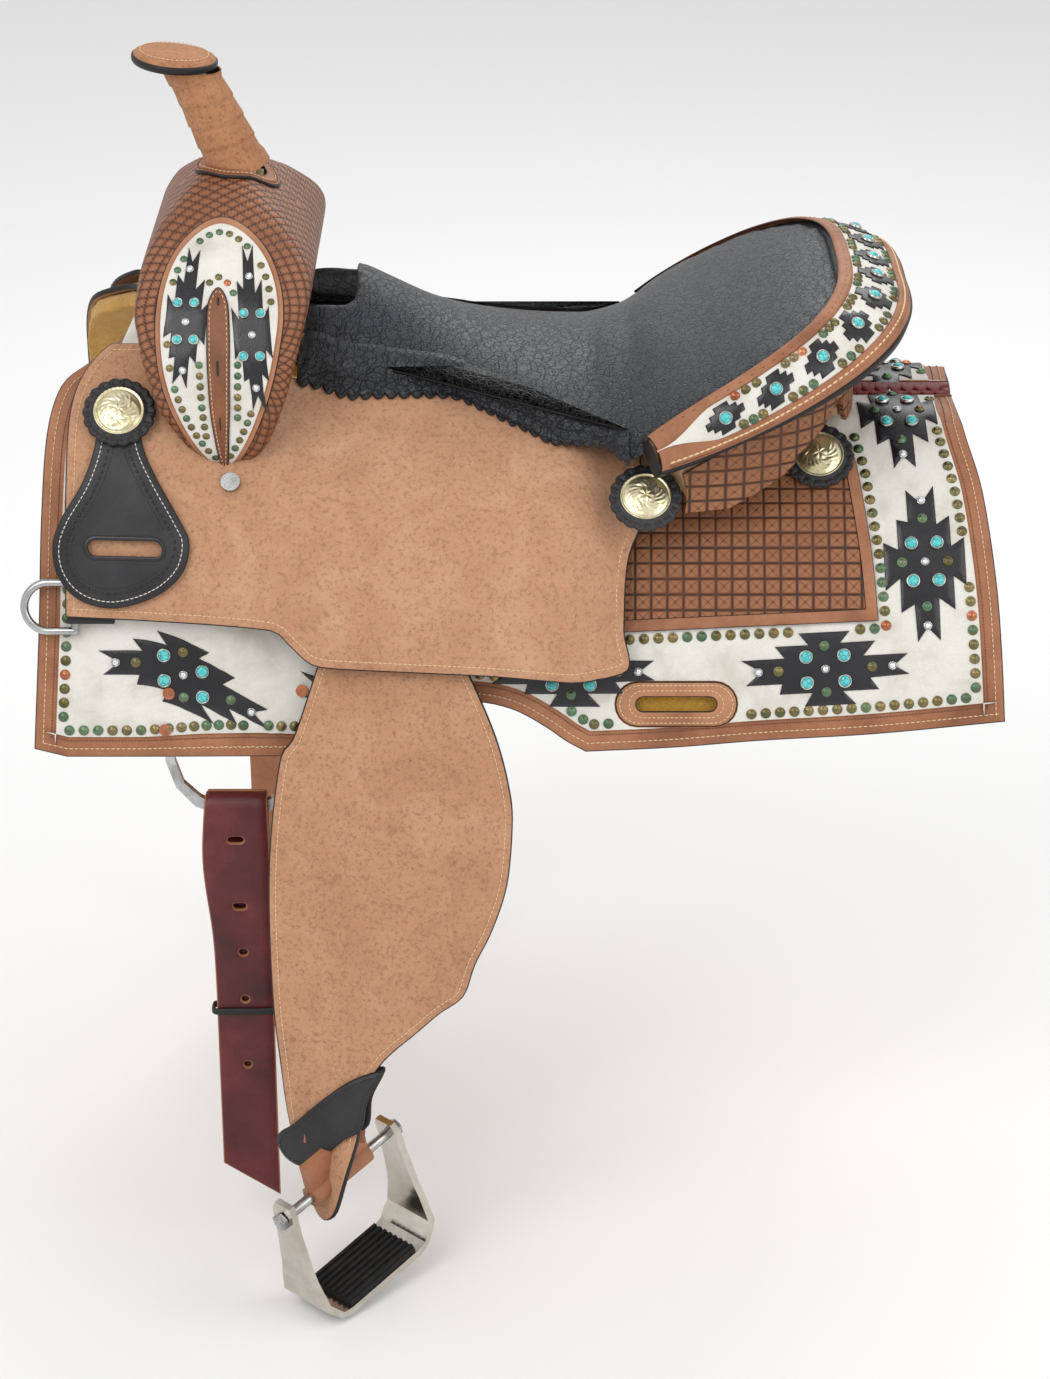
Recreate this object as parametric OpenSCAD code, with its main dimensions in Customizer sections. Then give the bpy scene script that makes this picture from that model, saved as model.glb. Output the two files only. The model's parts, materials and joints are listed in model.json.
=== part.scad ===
// Western saddle on its rack. X runs from the horn to the rear skirt,
// -Y is the rider's left side, +Z is up. The origin is on the centre plane,
// where the rack carries the saddle under the seat.

/* [Skirts] */
// Thickness of the skirt leather
skirt_t = 5; // [4:0.5:7]
// Thickness of the fleece under the skirts
fleece_t = 13; // [10:1:16]
// Thickness of the overlay leather sewn on the skirts
overlay_t = 2; // [1.5:0.5:2]
// Height of the skirt surface at the spine
spine_z = 44; // [42:1:46]

/* [Seat] */
// Length of the seat dish, swell to cantle edge
seat_len = 157; // [150:1:160]
// Thickness of the padded seat
seat_t = 14; // [12:1:14]
// Width of the cantle roll at the rear
roll_w = 53; // [45:1:56]

/* [Horn] */
// Radius of the wrapped horn neck at its base
horn_r = 19; // [18:0.5:21]
// Radius of the horn cap
cap_r = 31; // [28:1:34]

/* [Fender and stirrup] */
// Lean of the fender from the vertical, degrees
lean = 12; // [11:1:13]
// Thickness of the fender leather
fender_t = 4; // [3:0.5:4]
// Inside width of the stirrup
stirrup_w = 108; // [100:1:118]
// Height from the bolt axis to the tread
stirrup_h = 98; // [92:1:108]
// Depth of the tread, front to back
tread_d = 50; // [44:1:56]
// Turn of the stirrup about the vertical, degrees
stirrup_yaw = 46; // [40:1:50]
// Radius of the stirrup bolt
bolt_r = 4; // [3.5:0.5:4.5]

/* [Hardware] */
// Radius of a concho
concho_r = 19; // [17:0.5:21]
// Radius of the scalloped rosette under a concho
rosette_r = 26; // [24:1:27]
// Wire radius of the breast dee
dee_r = 3; // [2.5:0.5:3.5]
// Width of the cinch latigo
latigo_w = 44; // [40:1:46]
// Radius of the punched holes in the latigo
hole_r = 3; // [2.5:0.5:3.5]

/* [Hidden] */
$fn = 48;

// ---- profiles across the saddle: [distance from the centre plane, height]
// The front ones stand higher, over the withers; the rest blend into them.
SK_REAR = [[0,spine_z],[25,50],[55,48],[85,32],[112,8],[138,-20],[160,-52],[178,-88],[192,-126],[202,-163],[206,-182]];
SK_FRONT = [[0,118],[40,116],[66,112],[90,102],[118,76],[140,46],[158,10],[174,-35],[188,-88],[201,-146],[207,-182]];
JK_REAR = [[70,76],[98,57],[128,40],[160,17],[184,-10],[200,-44],[210,-80],[218,-112],[220,-120]];
JK_FRONT = [[84,114],[112,94],[140,64],[162,30],[178,-5],[190,-45],[200,-85],[208,-125],[210,-133]];
// share of the front profile at x
function wf(x) = let (u = min(1, max(0, (-130 - x)/160))) u*u*(3 - 2*u);
function mix(A, B, w) = [for (i = [0:len(A)-1]) A[i]*(1 - w) + B[i]*w];
SWELL = [[0,230],[35,226],[70,208],[100,184],[128,156],[147,126],[155,98],[154,72],[150,52],[142,42],
         [134,46],[131,66],[120,84],[98,104],[74,116],[60,122],[40,136],[20,143],[0,146]];
SW_OUT = [for (i = [0:9]) SWELL[i]];
GUL = [[80,113],[60,122],[40,136],[20,143],[0,146]];

function nrm(a, b) = let (d = b - a, l = norm(d)) [-d[1]/l, d[0]/l];
function off(P, d) = [for (i = [0:len(P)-1])
  let (n1 = i > 0 ? nrm(P[i-1], P[i]) : (P[0][0] == 0 ? [0,1] : nrm(P[0], P[1])),
       n2 = i < len(P)-1 ? nrm(P[i], P[i+1]) : nrm(P[i-1], P[i]),
       m = i == 0 ? n1 : (n1 + n2)/(1 + n1*n2)) P[i] + d*m];
function rev(P) = [for (i = [len(P)-1:-1:0]) P[i]];

// a band of leather between two offsets of one straight profile, along X
module band(P, d0, d1, x0, x1)
  translate([x0, 0, 0]) rotate([90, 0, 90]) linear_extrude(x1 - x0) polygon(concat(off(P, d0), rev(off(P, d1))));
// the same for a profile that changes from front to rear in short steps
STEPS = 20;
STEP = 160/STEPS;
function mid_w(i) = i == 0 ? 1 : i > STEPS ? 0 : wf(-290 + STEP*(i - 0.5));
module loft(A, B, d0, d1, i0 = 0, i1 = STEPS + 1)
  for (i = [i0:i1])
    band(mix(A, B, mid_w(i)), d0, d1, i == 0 ? -372 : -290 + STEP*(i - 1), i > STEPS ? 372 : -290 + STEP*i);
// a solid whose section across the saddle is P, running along X
module along_x(P, x0, x1)
  translate([x0, 0, 0]) rotate([90, 0, 90]) linear_extrude(x1 - x0) polygon(P);
// a side outline P = [x, z], running across from y0 to y1
module across(P, y0, y1)
  translate([0, y1, 0]) rotate([90, 0, 0]) linear_extrude(y1 - y0) polygon(P);
module near() mirror([0, 1, 0]) children();

// ---- side outlines
SKIRT_O = [[-272,132],[-302,112],[-324,102],[-342,90],[-351,63],[-355,5],[-358,-68],[-364,-160],[-340,-166],[-180,-166],[-140,-164],[-118,-150],
  [-92,-136],[-60,-128],[-33,-127],[-7,-133],[17,-146],[30,-155],[45,-163],[110,-160],[174,-155],[260,-150],[356,-141],[353,-90],
  [349,-43],[341,10],[331,40],[322,70],[-96,72],[-126,132]];
OVER_O = [[-275,-45],[-343,-45],[-349,-146],[-180,-151],[-145,-149],[-120,-132],[-92,-120],
  [-60,-113],[-30,-112],[0,-118],[25,-130],[52,-148],[174,-141],[342,-127],[336,-43],[327,10],[318,36],[306,70],[262,70],[262,-78],[60,-85],[60,-60],[-200,-60],[-200,-45]];
PANEL_O = [[62,-78],[260,-70],[256,-30],[247,20],[242,34],[62,34]];
JOCKEY_O = [[-284,122],[-305,114],[-324,99],[-333,77],[-335,33],[-336,-57],[-271,-60],[-185,-64],[-172,-74],[-160,-85],[-150,-89],[-121,-91],
  [-33,-95],[72,-100],[73,-70],[74,-41],[77,-22],[84,-8],[80,26],[39,38],[0,50],[-40,66],[-90,72],[-130,72],[-150,122]];
SWELL_CUT = [[-219,36],[-240,44],[-256,60],[-271,85],[-290,110],[-290,140],[-140,140],[-150,105],[-168,95],[-182,60],[-197,40]];
SWELL_X = [[-219,30],[-236,44],[-250,60],[-266,85],[-278,120],[-285,152],[-280,180],[-268,202],[-250,220],[-232,232],[-205,228],
  [-180,208],[-162,188],[-154,170],[-158,150],[-166,120],[-173,95],[-186,60],[-200,40]];
OVAL = [[-223,204],[-243,196],[-258,178],[-264,150],[-261,115],[-250,82],[-234,54],[-219,43],[-205,60],[-191,92],[-181,128],[-178,158],[-186,182],[-203,198]];

// ---- seat surface
ZC = [[-172,158],[-149,162],[-103,138],[-71,120],[-41,108],[-8,98],[21,94],[52,95],[86,100],[130,112],[180,134],[211,146],[240,156]];
ZE = [[-172,100],[-130,93],[-87,93],[-49,92],[-4,80],[39,68],[70,62],[77,58]];
HW = [[-172,66],[-130,76],[-87,72],[-49,74],[-4,98],[39,124],[70,146],[77,160]];
function lim(u) = min(1, max(0, u));
function half_w(x) = x <= 77 ? lookup(x, HW) : 163*pow(1 - pow(lim((x-77)/seat_len), 3), 1/3);
function edge_z(x) = x <= 77 ? lookup(x, ZE) : 57 + 98*pow(lim((x-77)/seat_len), 0.8);
function seat_z(x, y) = let (w = half_w(x)) lookup(x, ZC) + (edge_z(x) - lookup(x, ZC))*pow(abs(y)/w, 2);
XS = [-170,-150,-125,-100,-75,-50,-25,0,25,50,77,100,125,150,175,195,210,222,231];

// a slab that follows the seat surface: f is its share of the half width
module slab(f, lo, hi, xs, m = 8) {
  n = len(xs); k = 2*m + 1;
  function pt(i, j, d) = let (x = xs[i], y = f*half_w(x)*(j - m)/m) [x, y, seat_z(x, y) - d];
  pts = concat([for (i = [0:n-1], j = [0:k-1]) pt(i, j, lo)], [for (i = [0:n-1], j = [0:k-1]) pt(i, j, hi)]);
  t = n*k;
  function q(a, b, c, d) = [[a, b, c], [a, c, d]];
  faces = concat(
    [for (i = [0:n-2], j = [0:k-2]) each q(t+i*k+j, t+i*k+j+1, t+(i+1)*k+j+1, t+(i+1)*k+j)],
    [for (i = [0:n-2], j = [0:k-2]) each q(i*k+j, (i+1)*k+j, (i+1)*k+j+1, i*k+j+1)],
    [for (i = [0:n-2]) each q(i*k, t+i*k, t+(i+1)*k, (i+1)*k)],
    [for (i = [0:n-2]) each q(i*k+k-1, (i+1)*k+k-1, t+(i+1)*k+k-1, t+i*k+k-1)],
    [for (j = [0:k-2]) each q(j, j+1, t+j+1, t+j)],
    [for (j = [0:k-2]) let (b = (n-1)*k) each q(b+j, t+b+j, t+b+j+1, b+j+1)]);
  polyhedron(pts, faces, convexity = 6);
}

// ---- tree
module bar() intersection() {
  loft([for (i = [2:4]) SK_REAR[i]], [for (i = [2:4]) SK_FRONT[i]], overlay_t + 0.2, overlay_t + 12);
  translate([-250, 0, -50]) cube([420, 200, 200]);
}
module bar_near() color("burlywood") near() bar();
module bar_far() color("burlywood") bar();
module swell_solid() {
  intersection() {
    union() { along_x(SWELL, -290, -145); near() along_x(SWELL, -290, -145); }
    across(SWELL_X, -200, 200);
  }
}
FORK = [[0,222],[33,218],[66,200],[94,177],[120,150],[137,122],[144,97],[143,78],[138,76],[124,90],[102,110],[78,122],[64,130],[44,143],[22,149],[0,152]];
module fork_solid() { along_x(FORK, -244, -196); near() along_x(FORK, -244, -196); }
module fork() color("burlywood") difference() { fork_solid(); horn_axis() cylinder(r = 10.1, h = 80, center = true); }
module rosette_room() for (s = [0, 1]) mirror([0, s, 0]) { rear_place() translate([0, 0, -10]) cylinder(r = rosette_r + 4, h = 60); mid_place() translate([0, 0, -12]) cylinder(r = rosette_r + 4, h = 60); }
module cantle_board() color("burlywood") difference() { cantle_board_whole(); rosette_room(); translate([60, -200, 0]) cube([26, 400, 160]); }
module cantle_board_whole() intersection() {
  difference() { plan_u(166, 158, 15, 140); translate([0, 0, -1]) plan_u(154, 146, 10, 160); }
  across([[78,20],[150,25],[190,42],[212,58],[250,60],[250,134],[211,122],[156,90],[104,56],[78,34]], -200, 200);
}
// a U-shaped plan, open towards the horn
function se(a, b, t) = [77 + a*pow(cos(t), 2/3), b*pow(sin(t), 2/3)];
module plan_u(a, b, z0, z1)
  translate([0, 0, z0]) linear_extrude(z1 - z0) polygon(concat(
    [for (t = [90:-5:0]) se(a, b, t)], [for (t = [5:5:90]) let (p = se(a, b, t)) [p[0], -p[1]]]));

// ---- horn
module horn_axis() translate([-214, 0, 226]) rotate([0, -24, 0]) children();
module cap_place() translate([-259, 0, 309]) rotate([0, 6, 0]) children();
module horn_core() color("silver") difference() {
  horn_axis() translate([0, 0, -35]) cylinder(r = 10, h = 128);
  cap_place() translate([0, 0, -5]) cylinder(r = 60, h = 60);
  translate([-300, -50, 100]) cube([200, 100, 100]);
}
module horn_wrap() color("peru") difference() {
  horn_axis() translate([0, 0, -12]) cylinder(r1 = horn_r + 1, r2 = horn_r - 1.5, h = 110);
  horn_axis() translate([0, 0, -40]) cylinder(r = 10.1, h = 160);
  cap_place() translate([0, 0, -5]) cylinder(r = 60, h = 60);
  swell_solid();
}
module horn_cap() color("peru") cap_place() cylinder(r = cap_r, h = 5);
module horn_binding() color("black") cap_place() translate([0, 0, -5]) cylinder(r = cap_r + 1, h = 4.8);
module horn_collar() color("peru") difference() {
  intersection() {
    translate([-214, 0, 190]) cylinder(r = 33, h = 60);
    translate([0, 0, 2.6]) swell_solid();
  }
  swell_solid();
  horn_axis() translate([0, 0, -40]) cylinder(r = horn_r + 1.6, h = 160);
}

// ---- seat and covers
module ground_seat() color("tan") slab(0.8, seat_t + 10, seat_t + 1, [-120,-100,-80,-50,-25,0,25,50,77,100,125,150,175,195]);
module seat() color("dimgray") difference() {
  slab(1, seat_t, 0, XS);
  translate([1.5, 0, 0]) swell_solid();
  translate([-180, -40, 60]) cube([52, 80, 140]);
}
module swell_cover() color("sienna") difference() {
  swell_solid();
  fork_solid();
  horn_axis() cylinder(r = 10.2, h = 100, center = true);
}
module swell_overlay() intersection() {
  band(SW_OUT, 0.1, 2.5, -290, -150);
  across(OVAL, 0, 220);
}
module swell_overlay_near() color("white") near() swell_overlay();
module swell_overlay_far() color("white") swell_overlay();
module gullet_half() along_x(concat(GUL, rev(off(GUL, 2.5))), -278, -176);
module gullet_cover() color("tan") { gullet_half(); near() gullet_half(); }
// the roll: a curved band between the seat edge and the outer rim
function c3(v) = (v < 0 ? -1 : 1)*pow(abs(v), 2/3);
function roll_in(t) = [77 + (seat_len + 1)*c3(cos(t)), 164.5*c3(sin(t))];
function roll_out(t) = [77 + 8*abs(sin(t)) + (seat_len + roll_w)*c3(cos(t)), 180*c3(sin(t))];
function roll_zi(x) = 57 + 98*pow(lim((x - 77)/seat_len), 0.8);
function roll_zo(x) = 46 + 92*pow(lim((x - 80)/207), 1.2);
function roll_ring(t) = let (a = roll_in(t), b = roll_out(t), m = (a + b)/2, za = roll_zi(a[0]) + 3, zb = roll_zo(b[0]), zm = (za + zb)/2)
  [[a[0],a[1],za], [m[0],m[1],zm+4], [b[0],b[1],zb], [b[0],b[1],zb-6], [m[0],m[1],zm-7], [a[0],a[1],za-9]];
module roll_solid(n = 28) {
  pts = [for (i = [0:n]) each roll_ring(-90 + 180*i/n)];
  polyhedron(pts, concat([[0,1,2,3,4,5]], [[for (j = [5:-1:0]) n*6 + j]],
    [for (i = [0:n-1], j = [0:5]) let (a = i*6 + j, b = i*6 + (j+1)%6) each [[a, a+6, b], [b, a+6, b+6]]]), convexity = 6);
}
module cantle_roll() color("white") roll_solid();
module cantle_back() color("peru") difference() { cantle_back_whole(); rosette_room(); }
module cantle_back_whole() intersection() {
  difference() { plan_u(172, 164, 5, 140); translate([0, 0, -1]) plan_u(168, 160, 5, 160); }
  across([[82,10],[150,15],[190,36],[212,56],[260,58],[260,124],[240,122],[211,104],[156,66],[104,36],[82,28]], -200, 200);
}

// ---- skirts
// straight slot with round ends, through the leather
module slot(x, z, w, h) {
  translate([x - (w-h)/2, 100, z - h/2]) cube([w - h, 140, h]);
  for (s = [-1, 1]) translate([x + s*(w-h)/2, 100, z]) rotate([-90, 0, 0]) cylinder(r = h/2, h = 140);
}
// the two skirts meet at the spine only behind the fork; in front they stand apart
function from(P, a, b) = [for (i = [a:b]) P[i]];
module skirt_layer(d0, d1, last = 10) {
  loft(from(SK_REAR, 3, last), from(SK_FRONT, 3, last), d0, d1, 0, STEPS);
  loft(from(SK_REAR, 0, last), from(SK_FRONT, 0, last), d0, d1, STEPS + 1, STEPS + 1);
}
module skirt() difference() {
  intersection() { skirt_layer(-skirt_t, 0); across(SKIRT_O, 0, 260); }
  slot(112, -128, 62, 12);
}
module skirt_near() color("saddlebrown") near() skirt();
module skirt_far() color("saddlebrown") skirt();
module fleece() difference() {
  intersection() { skirt_layer(-skirt_t - fleece_t, -skirt_t, 9); across(SKIRT_O, 0, 260); }
  translate([-274.5, 121, -201]) cube([119, 101, 63.5]);
}
module fleece_near() color("gold") near() fleece();
module fleece_far() color("gold") fleece();
module overlay() difference() {
  intersection() { skirt_layer(0, overlay_t); across(OVER_O, 0, 260); }
  slot(112, -128, 92, 36);
  translate([296, -1, 0]) cube([60, 24, 80]);
}
module overlay_near() color("white") near() overlay();
module overlay_far() color("white") overlay();
module panel() intersection() { band(SK_REAR, 0, overlay_t, 40, 300); across(PANEL_O, 0, 260); }
module panel_near() color("sienna") near() panel();
module panel_far() color("sienna") panel();
module slot_lining() difference() {
  intersection() { band(SK_REAR, 0, overlay_t + 1, 50, 180); slot(112, -128, 91, 35); }
  slot(112, -128, 62, 12);
}
module slot_lining_near() color("tan") near() slot_lining();
module slot_lining_far() color("tan") slot_lining();
module jockey() difference() {
  intersection() { loft(JK_REAR, JK_FRONT, 0, 4); across(JOCKEY_O, 0, 260); }
  across(SWELL_CUT, 0, 260);
  front_place() cylinder(r = 3.2, h = 40, center = true);
}
module jockey_near() color("tan") near() jockey();
module jockey_far() color("tan") jockey();
module spine_lacing() color("darkred")
  for (i = [0:5]) translate([262 + 8.4*i, 0, spine_z + 5.6]) rotate([0, 0, i%2 ? 30 : -30]) translate([-3.4, -13, 0]) cube([6.8, 26, 3.6]);

// place on the jockey or skirt: z axis points out of the leather
module on_jockey(x, y, z, a) translate([x, y, z]) rotate([-a, 0, 0]) children();
module front_place() on_jockey(-296, 130.5, 74.2, 47) children();
module mid_place() on_jockey(88, 158, 18.5, 42) children();
module rear_place() on_jockey(219, 92, 26, 41.6) children();

module rosette_disc() difference() {
  union() { cylinder(r = rosette_r - 3, h = 3); for (i = [0:11]) rotate(30*i) translate([rosette_r - 3, 0, 0]) cylinder(r = 5, h = 3, $fn = 20); }
  translate([0, 0, -1]) cylinder(r = 3.2, h = 10);
}
module rosette_set() {
  front_place() translate([0, 0, 10.5]) rosette_disc();
  mid_place() translate([0, 0, 7]) rosette_disc();
  rear_place() translate([0, 0, 7]) rosette_disc();
}
module rosettes() color("black") { rosette_set(); near() rosette_set(); }
module concho() rotate_extrude() polygon([[0,0],[concho_r,0],[concho_r,1.5],[concho_r-1,2.6],[concho_r*0.75,4],[concho_r*0.5,5.2],[0,6]]);
module concho_set() {
  front_place() translate([0, 0, 13.6]) concho();
  mid_place() translate([0, 0, 10.1]) concho();
  rear_place() translate([0, 0, 10.1]) concho();
}
module conchos() color("silver") { concho_set(); near() concho_set(); }
// shanks of the conchos and the jockey screws
module screw_set() {
  front_place() translate([0, 0, -4]) cylinder(r = 3, h = 17.5);
  mid_place() translate([0, 0, -6]) cylinder(r = 3, h = 16);
  rear_place() translate([0, 0, 4]) cylinder(r = 3, h = 6);
  on_jockey(-215, 155.5, 31.5, 47.6) translate([0, 0, 5.2]) cylinder(r = 7, h = 2);
}
module screws() color("gainsboro") { screw_set(); near() screw_set(); }
module rivet_set() for (p = [[-263, 194.4, -118, 76.5], [-266, 200.6, -145, 77], [-165, 190.2, -118, 72]])
  on_jockey(p[0], p[1], p[2], p[3]) translate([0, 0, 2.3]) cylinder(r = 4.5, h = 1.5, $fn = 24);
module rivets() color("peru") { rivet_set(); near() rivet_set(); }

// ---- rigging: the dee hangs from two loops behind the skirt edge
dee_y = 184;
dee_z = -152;
module hanger_loop(x) difference() {
  translate([x, dee_y - 5.5, dee_z - 6]) cube([20, 11, 12]);
  translate([x - 1, dee_y, dee_z]) rotate([0, 90, 0]) cylinder(r = 3.1, h = 30);
}
module dee_hanger() { hanger_loop(-258); hanger_loop(-190); }
module dee_hanger_near() color("saddlebrown") near() dee_hanger();
module dee_hanger_far() color("saddlebrown") dee_hanger();
module rigging_dee() {
  translate([-266, dee_y, dee_z]) rotate([0, 90, 0]) cylinder(r = 3, h = 100);
  difference() {
    across([[-269,-148],[-269,-178],[-262,-200],[-248,-216],[-236,-221],[-196,-221],[-184,-216],[-170,-200],[-163,-178],[-163,-148]], dee_y - 3, dee_y + 3);
    across([[-262,-140],[-262,-177],[-256,-196],[-244,-208],[-236,-212],[-196,-212],[-188,-208],[-176,-196],[-170,-177],[-170,-140]], dee_y - 4, dee_y + 4);
  }
}
module rigging_dee_near() color("silver") near() rigging_dee();
module rigging_dee_far() color("silver") rigging_dee();
// a strap folded over the lower bar of the dee, seen from its edge
fold_z = -216.5;
module strap_holes(zs) for (z = zs) translate([-216, dee_y - 30, z]) rotate([-90, 0, 0]) cylinder(r = hole_r, h = 60);
module strap(front, back) {
  w = latigo_w;
  x0 = -216 - w/2;
  difference() {
    union() {
      along_x([[dee_y+9,fold_z],[dee_y+12.5,fold_z],[dee_y+4.2,-340],[dee_y+4.2,front],[dee_y+0.7,front],[dee_y+0.7,-340]], x0, x0 + w);
      along_x([[dee_y-9,fold_z],[dee_y-12.5,fold_z],[dee_y-4.2,-340],[dee_y-4.2,back],[dee_y-0.7,back],[dee_y-0.7,-340]], x0, x0 + w);
      translate([x0, dee_y, fold_z]) rotate([0, 90, 0]) difference() {
        cylinder(r = 12.5, h = w);
        translate([0, 0, -1]) cylinder(r = 9, h = w + 2);
        translate([0, -20, -1]) cube([20, 40, w + 2]);
      }
    }
    strap_holes([-240, -300, -341, -382, -440]);
  }
}
module latigo() color("darkred") near() difference() {
  strap(-565, -470);
  translate([-238, dee_y - 20, -536]) rotate([0, 32, 0]) translate([-40, 0, -40]) cube([100, 60, 40]);
}
module latigo_tie() color("black") near() difference() {
  translate([-239.5, dee_y - 5.4, -395]) cube([47, 10.8, 5]);
  translate([-238.2, dee_y - 4.3, -397]) cube([44.4, 8.6, 10]);
}
module off_billet() color("darkred") strap(-505, -460);

// ---- breast collar dee at the front edge
module breast_place() translate([-330, 187, -52]) rotate([14.5, 0, 0]) children();
module breast_dee() breast_place() {
  translate([0, 0, -18]) cylinder(r = dee_r, h = 36);
  for (s = [-1, 1]) {
    translate([0, 0, 18*s]) sphere(r = dee_r);
    translate([-19, 0, 18*s]) rotate([0, 90, 0]) cylinder(r = dee_r, h = 19);
  }
  translate([-19, 0, 0]) rotate([90, 0, 0]) rotate_extrude(angle = 180, start = 90) translate([18, 0]) circle(r = dee_r);
}
module breast_dee_near() color("silver") near() breast_dee();
module breast_dee_far() color("silver") breast_dee();
module breast_tab() breast_place() difference() {
  translate([-5, -4.3, -12]) cube([34, 8.6, 24]);
  translate([0, 0, -30]) cylinder(r = dee_r + 0.1, h = 60);
}
module breast_tabs() color("black") { breast_tab(); near() breast_tab(); }

// ---- latigo keeper, hung on the front concho
KEEPER_O = [[-312,82],[-280,82],[-279,58],[-268,36],[-250,8],[-244,-6],[-250,-26],[-270,-42],[-300,-50],[-325,-44],[-340,-28],[-344,-8],[-338,10],[-322,34],[-313,58]];
module keeper() difference() {
  intersection() { loft(JK_REAR, JK_FRONT, 5.8, 9.3); across(KEEPER_O, 0, 260); }
  front_place() cylinder(r = 3.2, h = 60, center = true);
  slot(-291, -8, 54, 11);
}
module keeper_near() color("black") near() keeper();
module keeper_far() color("black") keeper();

// ---- fender, hung at the bar and leaning out
module fender_plane() translate([0, 212, -163]) rotate([lean, 0, 0]) children();
FENDER_O = [[-138,108],[-68,108],[-52,84],[-40,63],[-21,17],[-11,-23],[-9,-50],[-13,-95],[-24,-130],[-37,-157],[-46,-182],
  [-64,-196],[-82,-212],[-106,-233],[-119,-256],[-120,-280],[-180,-280],[-184,-244],[-189,-187],[-191,-109],[-188,-50],
  [-180,4],[-171,17],[-159,51],[-148,84]];
module fender() fender_plane() across(FENDER_O, 3.8, 3.8 + fender_t);
module fender_near() color("tan") near() fender();
module fender_far() color("tan") fender();

// stirrup frame: x along the bolt, z up
module stirrup_place() translate([-142, 279, -483]) rotate([0, 0, -stirrup_yaw]) rotate([0, -14, 0]) children();
module stirrup_leather() difference() {
  union() {
    fender_plane() difference() {
      union() {
        translate([-103, 0, 120]) rotate([-90, 0, 0]) cylinder(r = 25, h = 3.5);
        across([[-128,120],[-78,120],[-122,-300],[-168,-300]], 0, 3.5);
      }
      translate([-103, -1, 120]) rotate([-90, 0, 0]) cylinder(r = 4.1, h = 10);
    }
    stirrup_place() {
      translate([-30, 0, 0]) rotate([0, 90, 0]) cylinder(r = 8.5, h = 60);
      translate([-30, -4, 0]) cube([60, 8, 30]);
    }
  }
  stirrup_place() translate([-60, 0, 0]) rotate([0, 90, 0]) cylinder(r = bolt_r + 0.1, h = 120);
}
module stirrup_leather_near() color("saddlebrown") near() stirrup_leather();
module stirrup_leather_far() color("saddlebrown") stirrup_leather();
module hobble_strap() fender_plane() difference() {
  across([[-192,-252],[-104,-246],[-104,-268],[-188,-276]], -3.2, 11.4);
  across([[-188.4,-236],[-108.4,-236],[-108.4,-290],[-188.4,-290]], -0.4, 8.4);
}
module hobble_strap_near() color("black") near() hobble_strap();
module hobble_strap_far() color("black") hobble_strap();
module hobble_buckle() fender_plane() difference() {
  translate([-175, -7.4, -277]) cube([26, 4, 26]);
  translate([-171, -9, -273]) cube([18, 8, 7.5]);
  translate([-171, -9, -262.5]) cube([18, 8, 7.5]);
}
module hobble_buckle_near() color("silver") near() hobble_buckle();
module hobble_buckle_far() color("silver") hobble_buckle();

module stirrup() stirrup_place() difference() {
  h = stirrup_h;
  w = stirrup_w/2;
  intersection() {
    difference() {
      translate([0, 40, 0]) rotate([90, 0, 0]) linear_extrude(80) polygon([[-w+2,13],[-w-3,13],[-w-5,0],[-w-7,-60],[-w-6,-h+14],[-w+6,-h-2],[-w+16,-h-6],
        [w-16,-h-6],[w-6,-h-2],[w+6,-h+14],[w+7,-60],[w+5,0],[w+3,13],[w-2,13]]);
      translate([0, 41, 0]) rotate([90, 0, 0]) linear_extrude(82) polygon([[-w+3,20],[-w+1,0],[-w-1,-60],[-w,-h+16],[-w+9,-h+2],[-w+18,-h],
        [w-18,-h],[w-9,-h+2],[w,-h+16],[w+1,-60],[w-1,0],[w-3,20]]);
    }
    translate([-100, 0, 0]) rotate([90, 0, 90]) linear_extrude(200) polygon([[-8,13],[8,13],[11,6],[11,-14],[15,-50],[tread_d/2,-h+8],[tread_d/2,-h-10],
      [-tread_d/2,-h-10],[-tread_d/2,-h+8],[-15,-50],[-11,-14],[-11,6]]);
  }
  translate([-100, 0, 0]) rotate([0, 90, 0]) cylinder(r = bolt_r, h = 200);
}
module stirrup_near() color("silver") near() stirrup();
module stirrup_far() color("silver") stirrup();
module tread() stirrup_place() translate([0, 0, -stirrup_h]) {
  w = stirrup_w/2 - 19;
  translate([-w, -tread_d/2 + 2, 0]) cube([2*w, tread_d - 4, 4]);
  for (i = [0:7]) translate([-w, -tread_d/2 + 3.5 + i*(tread_d - 9.5)/7, 3.9]) cube([2*w, 2.6, 2]);
}
module tread_near() color("black") near() tread();
module tread_far() color("black") tread();
module stirrup_bolt() stirrup_place() {
  w = stirrup_w/2;
  translate([-w - 10, 0, 0]) rotate([0, 90, 0]) cylinder(r = bolt_r, h = 2*w + 20);
  translate([w + 5.2, 0, 0]) rotate([0, 90, 0]) cylinder(r = 7, h = 4.6, $fn = 6);
  translate([-w - 9.8, 0, 0]) rotate([0, 90, 0]) cylinder(r = 7, h = 4.6, $fn = 6);
}
module stirrup_bolt_near() color("gainsboro") near() stirrup_bolt();
module stirrup_bolt_far() color("gainsboro") stirrup_bolt();

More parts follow.
